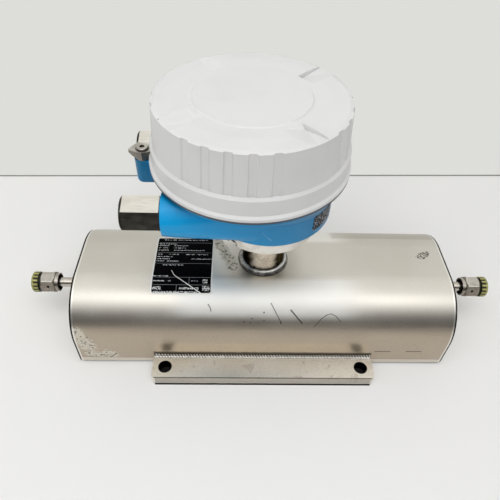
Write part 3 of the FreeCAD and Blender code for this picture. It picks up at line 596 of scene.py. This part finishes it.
def neck_steel():
    """Drawn pipe, dark, with a painted highlight along its front, painted shade on its right side and grey where
    it faces backwards.
    """
    steel = Recipe("neck_steel", metallic=1.0)
    wear = steel.noise(0.006, 6.0)
    fine = steel.noise(0.0015, 5.0)
    facing = steel.facing()
    front = steel.sum("SUBTRACT", steel.sum("MULTIPLY", facing[0], -0.04), facing[1])
    # Painted highlight along the front, with a ragged edge
    front_highlight = steel.sum("ADD", front, steel.sum("MULTIPLY", steel.sum("SUBTRACT", wear, 0.5), 0.30))
    colour = steel.mix(steel.step(front_highlight, 0.70, 0.98), (0.034, 0.030, 0.024), (0.90, 0.79, 0.655))
    # Painted shade on the right side
    colour = steel.mix(steel.step(facing[0], 0.55, 0.80), colour, (0.12, 0.11, 0.085))
    colour = steel.mix(steel.step(fine, 0.55, 0.70), colour, (0.05, 0.04, 0.03), 0.45)
    colour = steel.mix(steel.step(front, 0.10, -0.25), colour, (0.40, 0.37, 0.33))
    steel.shader.inputs["Specular Tint"].default_value = (0.30, 0.27, 0.22, 1.0)
    return steel.finish(colour, steel.step(wear, 0.3, 0.7, 0.22, 0.34), steel.bump(wear, 0.00003, 0.4))


def plated_steel():
    """Nickel-plated hexagon bar with drawn lines along it, painted shade in its crevices, mottled painted shade
    on its front flats, and dark at its end.
    """
    steel = Recipe("plated_steel", metallic=1.0)
    lines = steel.noise(0.0008, 3.0, stretch=(0.05, 1, 1))
    wear = steel.noise(0.012, 5.0)
    facing = steel.facing()
    colour = steel.mix(steel.step(wear, 0.4, 0.65), (0.76, 0.73, 0.665), (0.71, 0.675, 0.605))
    colour = steel.mix(steel.step(lines, 0.50, 0.68), colour, (0.30, 0.27, 0.23), 0.25)
    # Painted shade in crevices and beside other pieces
    colour = steel.mix(steel.step(steel.nearness(0.0015), 0.4, 0.8), colour, (0.03, 0.026, 0.022), 0.85)
    chamfer = steel.all_of(steel.step(facing[0], -0.15, -0.4), steel.step(facing[0], -0.99, -0.95))
    colour = steel.mix(chamfer, colour, (0.015, 0.013, 0.011), 0.95)
    end_band = steel.all_of(steel.step(steel.axes()[0], *ADAPTER_END), steel.step(facing[0], -0.9, -0.8))
    colour = steel.mix(end_band, colour, (0.015, 0.013, 0.011), 0.95)
    # Mottled painted shade on the flats that face the front
    mottled_front_shade = steel.step(steel.noise(0.003, 5.0, stretch=(0.4, 1, 1)), 0.40, 0.60)
    mottled_front_shade = steel.mix(mottled_front_shade, (0.20, 0.18, 0.145), (0.56, 0.51, 0.43))
    colour = steel.mix(steel.step(facing[1], -0.5, -0.8), colour, mottled_front_shade, 0.60)
    return steel.finish(colour, steel.step(wear, 0.3, 0.7, 0.12, 0.18), steel.bump(lines, 0.00002, 0.5))


def nut_steel():
    """Stainless union nuts: drawn lines, warm grey, painted highlights on the edges, and painted shade on the
    sides, in the bore and in the recesses.
    """
    steel = Recipe("nut_steel", metallic=1.0)
    lines = steel.noise(0.0007, 3.0, stretch=(0.08, 1, 1))
    wear = steel.noise(0.005, 5.0)
    colour = steel.mix(steel.step(wear, 0.4, 0.65), (0.53, 0.50, 0.455), (0.43, 0.395, 0.35))
    # Painted shade on the faces that turn away from the top
    colour = steel.mix(steel.step(steel.facing()[2], 0.70, 0.35), colour, (0.26, 0.22, 0.18), 0.75)
    side, height, out = steel.from_flow_axis()
    # Painted highlight along the edges of the hexagon
    turn = steel.sum("ARCTAN2", height, steel.sum("MULTIPLY", side, -1.0))
    turn = steel.sum("WRAP", steel.sum("SUBTRACT", turn, NUT_HIGHLIGHT_ANGLE), math.pi / 6, -math.pi / 6)
    painted_edge = steel.all_of(steel.step(steel.sum("ABSOLUTE", turn), *NUT_HIGHLIGHT_TURN), steel.step(out, *NUT_HIGHLIGHT_OUT))
    colour = steel.mix(painted_edge, colour, (0.93, 0.90, 0.84), 0.85)
    # Painted shade inside the bore
    from_middle = steel.sum("ABSOLUTE", steel.axes()[0])
    inside = steel.all_of(steel.step(out, *NUT_BORE_SHADE), steel.step(from_middle, *NUT_BORE_SHADE_IN))
    colour = steel.mix(inside, colour, (0.012, 0.010, 0.009))
    # Painted shade in recesses and beside other pieces
    colour = steel.mix(steel.step(steel.nearness(0.0022), 0.30, 0.70), colour, (0.02, 0.017, 0.015), 0.92)
    return steel.finish(colour, steel.step(wear, 0.3, 0.7, 0.22, 0.32), steel.bump(lines, 0.00003, 0.5))


def flange_steel():
    """Pale turned steel of the neck flange, with painted shade in its crevices and in its notch."""
    steel = Recipe("flange_steel", metallic=1.0)
    wear = steel.noise(0.006, 5.0)
    lines = steel.noise(0.0007, 2.0, stretch=(0.05, 0.05, 1.0))
    colour = steel.mix(steel.step(wear, 0.45, 0.7), (0.90, 0.88, 0.82), (0.82, 0.79, 0.72))
    # Painted shade in crevices, and a near-black spot of painted shade in the notch
    colour = steel.mix(steel.step(steel.nearness(0.004), 0.45, 0.8), colour, (0.02, 0.018, 0.015), 0.95)
    colour = steel.mix(steel.spots(FLANGE_NOTCH_SHADE), colour, (0.006, 0.006, 0.006))
    return steel.finish(colour, steel.step(wear, 0.3, 0.7, 0.38, 0.5), steel.bump(lines, 0.00003, 0.5))


# Paint


def powder_coat(
    name, colour, shade, chips, chip_colour,
    gloss=0.34, crevice_shade=0.3, shine=0.5, reach=0.004, shaded=(), right=None, seam_shadow=None,
):
    """Powder coat: fine orange peel, faint soiling, painted shade in crevices and a few chips, with painted shade
    towards the right, on shaded patches and at a seam where given.
    """
    paint = Recipe(name)
    soil = paint.noise(0.03, 5.0)
    peel = paint.noise(0.0022, 2.0)
    tone = paint.mix(paint.step(soil, 0.45, 0.75), colour, shade)
    # Painted shade: darker towards the right
    if right:
        tone = paint.mix(paint.step(paint.axes()[0], *BLUE_SHADE_RIGHTWARD), tone, right)
    # Painted shade in crevices and beside other pieces
    crevice_shade_mask = paint.step(paint.nearness(reach), 0.36, 0.72)
    tone = paint.mix(crevice_shade_mask, tone, tuple(0.12 * part for part in colour), crevice_shade)
    # Painted shade on the shaded patches
    if shaded:
        lug = paint.patches(shaded, paint.noise(0.02, 1.0))
        tone = paint.mix(lug, tone, tuple(0.35 * part for part in colour), 0.9)
    # Painted shadow along the seam
    if seam_shadow:
        tone = paint.mix(paint.step(paint.axes()[2], *seam_shadow), tone, (0.010, 0.022, 0.050), 0.95)
    chipped = paint.scratches(chips)
    tone = paint.mix(chipped, tone, chip_colour)
    paint.shader.inputs["Specular IOR Level"].default_value = shine
    paint.shader.inputs["Coat Weight"].default_value = 0.4 * shine
    paint.shader.inputs["Coat Roughness"].default_value = 0.18
    normal = paint.bump(peel, 0.00006, 0.35)
    normal = paint.bump(chipped, 0.0001, -0.5, onto=normal)
    rough = paint.sum("ADD", paint.step(soil, 0.3, 0.7, gloss, gloss + 0.08), paint.sum("MULTIPLY", chipped, 0.2))
    return paint.finish(tone, rough, normal)


# Plastics and rubber


def olive_plastic():
    """Moulded thread protector, with painted shade between its ridges, beside other pieces and at its neck."""
    plastic = Recipe("olive_plastic", roughness=0.42)
    cloud = plastic.noise(0.004, 3.0)
    colour = plastic.mix(plastic.step(cloud, 0.35, 0.65), (0.46, 0.45, 0.15), (0.32, 0.31, 0.10))
    # Painted shade beside other pieces
    hidden_shade = plastic.step(plastic.nearness(0.0025), 0.18, 0.42)
    colour = plastic.mix(hidden_shade, colour, (0.012, 0.014, 0.004), 0.96)
    # Painted shade in the grip grooves and at the neck
    out = plastic.from_flow_axis()[2]
    from_middle = plastic.sum("ABSOLUTE", plastic.axes()[0])
    groove_shade = plastic.all_of(plastic.step(out, *CAP_GROOVE_SHADE), plastic.step(from_middle, *CAP_FACE))
    groove_shade = plastic.any_of([groove_shade, plastic.step(from_middle, *CAP_NECK_SHADE)])
    colour = plastic.mix(groove_shade, colour, (0.006, 0.007, 0.003), 0.96)
    return plastic.finish(colour, normal=plastic.bump(cloud, 0.00004, 0.4))


def black_rubber():
    """Seals, with a fine speckle."""
    rubber = Recipe("black_rubber", roughness=0.7)
    speck = rubber.noise(0.0009, 3.0)
    colour = rubber.mix(rubber.step(speck, 0.3, 0.7), (0.012, 0.012, 0.013), (0.03, 0.03, 0.03))
    return rubber.finish(colour, normal=rubber.bump(speck, 0.00005, 0.5))


def dull_plastic(name, colour, shade):
    """Plain plastic or laminate of the inner pieces."""
    plastic = Recipe(name, roughness=0.55)
    speck = plastic.noise(0.0012, 3.0)
    tone = plastic.mix(plastic.step(speck, 0.35, 0.65), colour, shade)
    return plastic.finish(tone, normal=plastic.bump(speck, 0.00004, 0.4))


def coil_copper():
    """Winding of enamelled wire."""
    copper = Recipe("coil_copper", metallic=1.0, roughness=0.3)
    turns = copper.sum("SINE", copper.sum("MULTIPLY", copper.axes()[2], 2 * math.pi / WIRE_PITCH))
    colour = copper.mix(copper.step(turns, -0.6, 0.6), (0.30, 0.10, 0.03), (0.62, 0.27, 0.10))
    return copper.finish(colour, normal=copper.bump(turns, 0.0001, 0.8))


# Labels


def rectangle(recipe, spot, across, down, corner=0.0, soft=0.0001):
    """One inside a rectangle of the label, nought outside, with rounded corners."""
    middle = ((across[0] + across[1]) / 2, (down[0] + down[1]) / 2, 0.0)
    half = ((across[1] - across[0]) / 2 - corner, (down[1] - down[0]) / 2 - corner, 1.0)
    offset = recipe.vector("ABSOLUTE", recipe.vector("SUBTRACT", spot, middle))
    over = recipe.vector("SUBTRACT", offset, half)
    if corner:
        reach = recipe.vector("LENGTH", recipe.vector("MAXIMUM", over, (0, 0, 0)))
    else:
        parts = recipe.axes(over)
        reach = recipe.sum("MAXIMUM", parts[0], parts[1])
    return recipe.step(reach, corner + soft, corner - soft)


def nameplate_foil():
    """Dark foil with a pale border, rules, and broken pale bars and fields, with nothing to read."""
    foil = Recipe("nameplate_foil", roughness=0.30)
    low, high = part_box("nameplate")
    width = high[0] - low[0]
    length = (high[1] - NOSE_CENTRE[0]) + PLATE_RADIUS * NOSE_ANGLE

    # Place on the foil, laid flat: across it, and down over the nose
    x, y, z = foil.axes()
    nose = foil.sum("ARCTAN2", foil.sum("SUBTRACT", NOSE_CENTRE[0], y), foil.sum("SUBTRACT", z, NOSE_CENTRE[1]))
    round_nose = foil.sum("MULTIPLY", foil.sum("MAXIMUM", nose, 0.0), PLATE_RADIUS)
    flat = foil.sum("SUBTRACT", high[1], foil.sum("MAXIMUM", y, NOSE_CENTRE[0]))
    spot = foil.add("ShaderNodeCombineXYZ")
    foil.feed(spot.inputs[0], foil.sum("SUBTRACT", x, low[0]))
    foil.feed(spot.inputs[1], foil.sum("ADD", flat, round_nose))
    spot = spot.outputs[0]

    def shares(start, end, whole):
        return start * whole, end * whole

    def line(share, whole, half):
        return share * whole - half, share * whole + half

    sheen = foil.noise(0.004, 4.0)
    colour = foil.mix(foil.step(sheen, 0.35, 0.65), (0.0004, 0.0004, 0.0008), (0.002, 0.002, 0.003))
    rules = [
        rectangle(foil, spot, (RULE_MARGIN, width - RULE_MARGIN), line(share, length, RULE_HALF))
        for share in RULE_PLACES
    ]
    rules += [
        rectangle(foil, spot, line(share, width, RULE_HALF), shares(start, end, length))
        for share, start, end in RULE_UPRIGHTS
    ]
    bars = [
        rectangle(foil, spot, shares(start, end, width), line(share, length, BAR_HALF))
        for share, start, end in BARS
    ]
    bars += [
        rectangle(foil, spot, shares(start, end, width), shares(top, bottom, length), FIELD_CORNER)
        for top, bottom, start, end in FIELDS
    ]
    broken = foil.step(foil.noise(0.0011, 2.0, place=spot), 0.46, 0.54)
    colour = foil.mix(foil.all_of(foil.any_of(bars), broken), colour, (0.78, 0.78, 0.76), 0.92)
    colour = foil.mix(foil.any_of(rules), colour, (0.55, 0.55, 0.55), 0.55)
    inside = rectangle(foil, spot, (BORDER, width - BORDER), (BORDER, length - BORDER), BORDER_CORNER)
    colour = foil.mix(inside, (0.82, 0.81, 0.77), colour)
    cut = foil.scratches(LABEL_SCRATCH)
    colour = foil.mix(cut, colour, (0.85, 0.84, 0.80))
    foil.shader.inputs["Specular IOR Level"].default_value = 0.02
    return foil.finish(colour, foil.step(sheen, 0.3, 0.7, 0.30, 0.38), foil.bump(cut, 0.0001, -0.6))


def side_foil():
    """Small dark label with broken pale flecks, bare."""
    foil = Recipe("side_foil", roughness=0.4)
    wear = foil.noise(0.0014, 3.0)
    colour = foil.mix(foil.step(wear, 0.52, 0.58), (0.004, 0.004, 0.007), (0.30, 0.33, 0.38))
    foil.shader.inputs["Specular IOR Level"].default_value = 0.2
    return foil.finish(colour, normal=foil.bump(wear, 0.00004, 0.5))


def paint_nodes():
    """Gives each CAD node its material."""
    turned = turned_steel("turned_steel")
    rubber = black_rubber()
    olive = olive_plastic()
    copper = coil_copper()
    magnet = turned_steel("magnet_steel", (0.45, 0.45, 0.47), 0.35)
    board = dull_plastic("board_laminate", (0.02, 0.13, 0.05), (0.03, 0.18, 0.08))
    carrier = dull_plastic("carrier_plastic", (0.03, 0.03, 0.03), (0.05, 0.05, 0.05))
    terminal = dull_plastic("terminal_plastic", (0.03, 0.22, 0.08), (0.02, 0.16, 0.06))
    blue = powder_coat(
        "blue_coat", (0.002, 0.37, 0.78), (0.003, 0.33, 0.70), BLUE_MARKS, (0.25, 0.50, 0.72),
        gloss=0.28, crevice_shade=0.97, shine=0.28, reach=0.014, shaded=SHADED_LUG, right=(0.028, 0.235, 0.48),
    )
    white = powder_coat(
        "white_coat", (0.75, 0.75, 0.745), (0.72, 0.72, 0.71), LID_CHIPS, (0.09, 0.09, 0.085),
        crevice_shade=0.3, seam_shadow=LID_SEAM_SHADOW,
    )
    finishes = {
        satin_steel(): ("sensor_wrap",),
        end_steel(): ("end_plate_left", "end_plate_right"),
        bar_steel(): ("mounting_bar_front", "mounting_bar_rear"),
        ring_weld(): ("neck_weld",),
        turned_steel("gland_steel", (0.60, 0.56, 0.50), 0.22): ("gland_left", "gland_right"),
        turned_steel("clamp_steel", (0.64, 0.61, 0.555), 0.34, 0.005, CLAMP_RING): ("lid_clamp", "clamp_screw"),
        turned: (
            "flow_tube", "tube_carrier", "carrier_clamp_left",
            "carrier_clamp_right", "temperature_sensor", "board_spacers", "flange_screws",
        ),
        plated_steel(): ("adapter_front", "adapter_rear"),
        nut_steel(): ("nut_left", "nut_right"),
        neck_steel(): ("neck_tube",),
        flange_steel(): ("neck_flange",),
        blue: ("transmitter_body",),
        white: ("lid",),
        olive: ("protector_left", "protector_right"),
        rubber: ("adapter_seals", "lid_gasket"),
        copper: ("drive_coil", "pickup_coil_left", "pickup_coil_right"),
        magnet: ("drive_magnet", "pickup_magnet_left", "pickup_magnet_right"),
        board: ("power_board", "signal_board"),
        carrier: ("electronics_carrier", "feedthrough"),
        terminal: ("terminal_block",),
        nameplate_foil(): ("nameplate",),
        side_foil(): ("side_label",),
    }
    for material, names in finishes.items():
        for name in names:
            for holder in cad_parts[name].material_slots:
                holder.material = material


# Added pieces


def piece_from(name, places, faces, material):
    """New smooth-shaded piece that rides on the meter."""
    mesh = bpy.data.meshes.new(name)
    mesh.from_pydata(places, [], faces)
    mesh.update()
    mesh.polygons.foreach_set("use_smooth", [True] * len(mesh.polygons))
    mesh.materials.append(material)
    piece = bpy.data.objects.new(name, mesh)
    bpy.context.collection.objects.link(piece)
    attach(piece, "meter")
    return piece


def make_weld_bead(side, node, material):
    """Fillet weld along a mounting bar, with slanting ripples."""
    columns = int(2 * WELD_HALF / (RIPPLE_PITCH / RIPPLE_STEPS)) + 1
    places = []
    for column in range(columns):
        x = -WELD_HALF + 2 * WELD_HALF * column / (columns - 1)
        fade = min(1.0, 12 * min(column, columns - 1 - column) / columns)
        for row in range(WELD_ROWS):
            share = row / (WELD_ROWS - 1)
            turn = share * math.pi / 2
            ripple = math.sin(2 * math.pi * (x / RIPPLE_PITCH + RIPPLE_LEAN * share))
            swell = 1.0 + fade * (RIPPLE_HEIGHT / WELD_OUT) * (ripple - 1.0)
            bulge = 0.62 + 0.38 * abs(math.cos(2 * turn))
            out = WELD_OUT * math.cos(turn) * bulge * swell
            lift = WELD_UP * math.sin(turn) * bulge * swell
            places.append((x, side * (HOUSING_SIDE + out), BAR_TOP + lift))
        places.append((x, side * HOUSING_SIDE, BAR_TOP))
    ring = WELD_ROWS + 1
    faces = []
    for column in range(columns - 1):
        for row in range(ring):
            following = (row + 1) % ring
            start = column * ring
            corners = (start + row, start + following, start + ring + following, start + ring + row)
            faces.append(corners if side < 0 else corners[::-1])
    last = (columns - 1) * ring
    first_cap = tuple(range(ring))
    last_cap = tuple(last + row for row in range(ring))
    faces += [first_cap[::-1], last_cap] if side < 0 else [first_cap, last_cap[::-1]]
    bead = piece_from(node + "_bead", places, faces, material)
    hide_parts(node)


# Stage, light and camera


def stage_recipe(name, colour):
    """Matt stage surface in one pale colour."""
    stage = Recipe(name, roughness=0.9)
    stage.shader.inputs["Base Color"].default_value = (*colour, 1.0)
    stage.shader.inputs["Specular IOR Level"].default_value = 0.1
    return stage


def stage_plane(name, size, place, turn, material):
    """Flat stage piece."""
    bpy.ops.mesh.primitive_plane_add(size=1.0, location=place, rotation=turn)
    plane = bpy.context.object
    plane.name = name
    plane.scale = (*size, 1.0)
    plane.data.materials.append(material)


def make_floor():
    """Table top, far parts of which metal sees dark, and painted shade in the gap below the wall."""
    stage = stage_recipe("table_top", FLOOR_COLOUR)
    rays = stage.add("ShaderNodeLightPath")
    y = stage.axes(stage.surface.outputs["Position"])[1]
    unseen = stage.sum("SUBTRACT", 1.0, rays.outputs["Is Camera Ray"])
    colour = stage.mix(stage.all_of(stage.step(y, *FLOOR_FADE), unseen), FLOOR_COLOUR, FLOOR_FAR_COLOUR)
    stage_plane("table", (STAGE_SIZE, STAGE_SIZE), (0, 0, 0), (0, 0, 0), stage.finish(colour))
    # Painted shade: a grey strip in the gap below the wall
    gap = stage_recipe("table_gap_shade", GAP_SHADE_COLOUR)
    place = (0, WALL_Y - GAP_WIDTH, GAP_LIFT)
    stage_plane("table_gap_shade", (STAGE_SIZE, GAP_WIDTH), place, (0, 0, WALL_TURN), gap.material)


def make_table_shadows():
    """Painted shade on the table under the holes of the bars, and a painted contact shadow along the front bar.
    """
    dark = stage_recipe("table_hole_shade", HOLE_SHADE_COLOUR)
    # Painted shade: dark discs on the table under the bar holes
    for x, y in BAR_HOLES:
        bpy.ops.mesh.primitive_circle_add(radius=BAR_HOLE_RADIUS, fill_type="NGON", location=(x, y, HOLE_SHADE_LIFT))
        hole = bpy.context.object
        hole.name = "table_hole_shade"
        hole.data.materials.append(dark.material)
    # Painted contact shadow: a dark strip along the foot of the front bar
    stage_plane("table_contact_shadow", CONTACT_SHADOW_SIZE, CONTACT_SHADOW_PLACE, (0, 0, 0), dark.material)


def make_wall():
    """Wall that the camera and metal see in its own colour, white to metal higher up, clear from behind."""
    stage = stage_recipe("wall_face", WALL_COLOUR)
    rays = stage.add("ShaderNodeLightPath")
    glow = stage.add("ShaderNodeEmission")
    z = stage.axes(stage.surface.outputs["Position"])[2]
    bright = stage.all_of(stage.step(z, *WALL_GLOW_UP), rays.outputs["Is Glossy Ray"])
    stage.feed(glow.inputs["Color"], stage.mix(bright, WALL_COLOUR, WALL_GLOW))
    clear = stage.add("ShaderNodeBsdfTransparent")
    shown = stage.sum("MAXIMUM", rays.outputs["Is Camera Ray"], rays.outputs["Is Glossy Ray"])
    face = stage.add("ShaderNodeMixShader")
    stage.feed(face.inputs[0], shown)
    stage.feed(face.inputs[1], stage.shader.outputs[0])
    stage.feed(face.inputs[2], glow.outputs[0])
    whole = stage.add("ShaderNodeMixShader")
    stage.feed(whole.inputs[0], stage.surface.outputs["Backfacing"])
    stage.feed(whole.inputs[1], face.outputs[0])
    stage.feed(whole.inputs[2], clear.outputs[0])
    stage.feed(stage.tree.nodes["Material Output"].inputs["Surface"], whole.outputs[0])
    stage_plane("wall", (STAGE_SIZE, STAGE_SIZE), (0, WALL_Y, 0), (math.pi / 2, 0, WALL_TURN), stage.material)


def make_world():
    """Soft room light: bright overhead and behind, dim low in front; the camera sees a plain pale room."""
    world = bpy.data.worlds.new("room")
    bpy.context.scene.world = world
    world.use_nodes = True
    tree = world.node_tree
    back = tree.nodes["Background"]

    def arithmetic(operation, first, second):
        node = tree.nodes.new("ShaderNodeMath")
        node.operation = operation
        for socket, value in zip(node.inputs, (first, second)):
            if isinstance(value, bpy.types.NodeSocket):
                tree.links.new(value, socket)
            else:
                socket.default_value = value
        return node.outputs[0]

    def soft_step(value, start, end):
        node = tree.nodes.new("ShaderNodeMapRange")
        node.interpolation_type = "SMOOTHSTEP"
        tree.links.new(value, node.inputs["Value"])
        node.inputs["From Min"].default_value = start
        node.inputs["From Max"].default_value = end
        return node.outputs[0]

    direction = tree.nodes.new("ShaderNodeTexCoord").outputs["Generated"]
    parts = tree.nodes.new("ShaderNodeSeparateXYZ")
    tree.links.new(direction, parts.inputs[0])
    height = soft_step(parts.outputs["Z"], *ROOM_UPWARD)
    behind = soft_step(parts.outputs["Y"], *ROOM_BACKWARD)
    lit = arithmetic("MAXIMUM", height, behind)
    strength = arithmetic("ADD", ROOM_LOW, arithmetic("MULTIPLY", lit, ROOM_HIGH - ROOM_LOW))
    rays = tree.nodes.new("ShaderNodeLightPath")
    light = tree.nodes.new("ShaderNodeBackground")
    light.inputs["Color"].default_value = (1.0, 1.0, 1.0, 1.0)
    tree.links.new(strength, light.inputs["Strength"])
    back.inputs["Color"].default_value = (*ROOM_COLOUR, 1.0)
    back.inputs["Strength"].default_value = 1.0
    blend = tree.nodes.new("ShaderNodeMixShader")
    tree.links.new(rays.outputs["Is Camera Ray"], blend.inputs[0])
    tree.links.new(light.outputs[0], blend.inputs[1])
    tree.links.new(back.outputs[0], blend.inputs[2])
    tree.links.new(blend.outputs[0], tree.nodes["World Output"].inputs["Surface"])


def make_softbox(name, place, target, size, power, mirrored):
    """Area light; metal shows it only if mirrored."""
    light = bpy.data.lights.new(name, "AREA")
    light.shape = "RECTANGLE"
    light.size, light.size_y = size
    light.energy = power
    lamp = bpy.data.objects.new(name, light)
    lamp.visible_glossy = mirrored
    bpy.context.collection.objects.link(lamp)
    lamp.location = place
    way = Vector(target) - Vector(place)
    lamp.rotation_euler = way.to_track_quat("-Z", "Y").to_euler()


def make_camera():
    """The photograph's camera."""
    data = bpy.data.cameras.new("camera")
    data.lens = CAMERA_FOCAL
    data.sensor_width = SENSOR_WIDTH
    camera = bpy.data.objects.new("camera", data)
    bpy.context.collection.objects.link(camera)
    ahead = Vector((
        -math.sin(CAMERA_YAW) * math.cos(CAMERA_PITCH),
        math.cos(CAMERA_YAW) * math.cos(CAMERA_PITCH),
        -math.sin(CAMERA_PITCH),
    ))
    level = Vector((math.cos(CAMERA_YAW), math.sin(CAMERA_YAW), 0.0))
    down = ahead.cross(level)
    right = math.cos(CAMERA_ROLL) * level + math.sin(CAMERA_ROLL) * down
    below = -math.sin(CAMERA_ROLL) * level + math.cos(CAMERA_ROLL) * down
    turn = Matrix((right, -below, -ahead)).transposed().to_4x4()
    camera.matrix_world = Matrix.Translation(CAMERA_PLACE) @ turn
    bpy.context.scene.camera = camera


paint_nodes()
bead_metal = weld_metal()
make_weld_bead(-1, "bar_weld_front", bead_metal)
make_weld_bead(1, "bar_weld_rear", bead_metal)
make_floor()
make_table_shadows()
make_wall()
make_world()
for lamp_name, lamp_settings in LAMPS.items():
    make_softbox(lamp_name, *lamp_settings)
make_camera()

bpy.context.scene.view_settings.view_transform = "Standard"
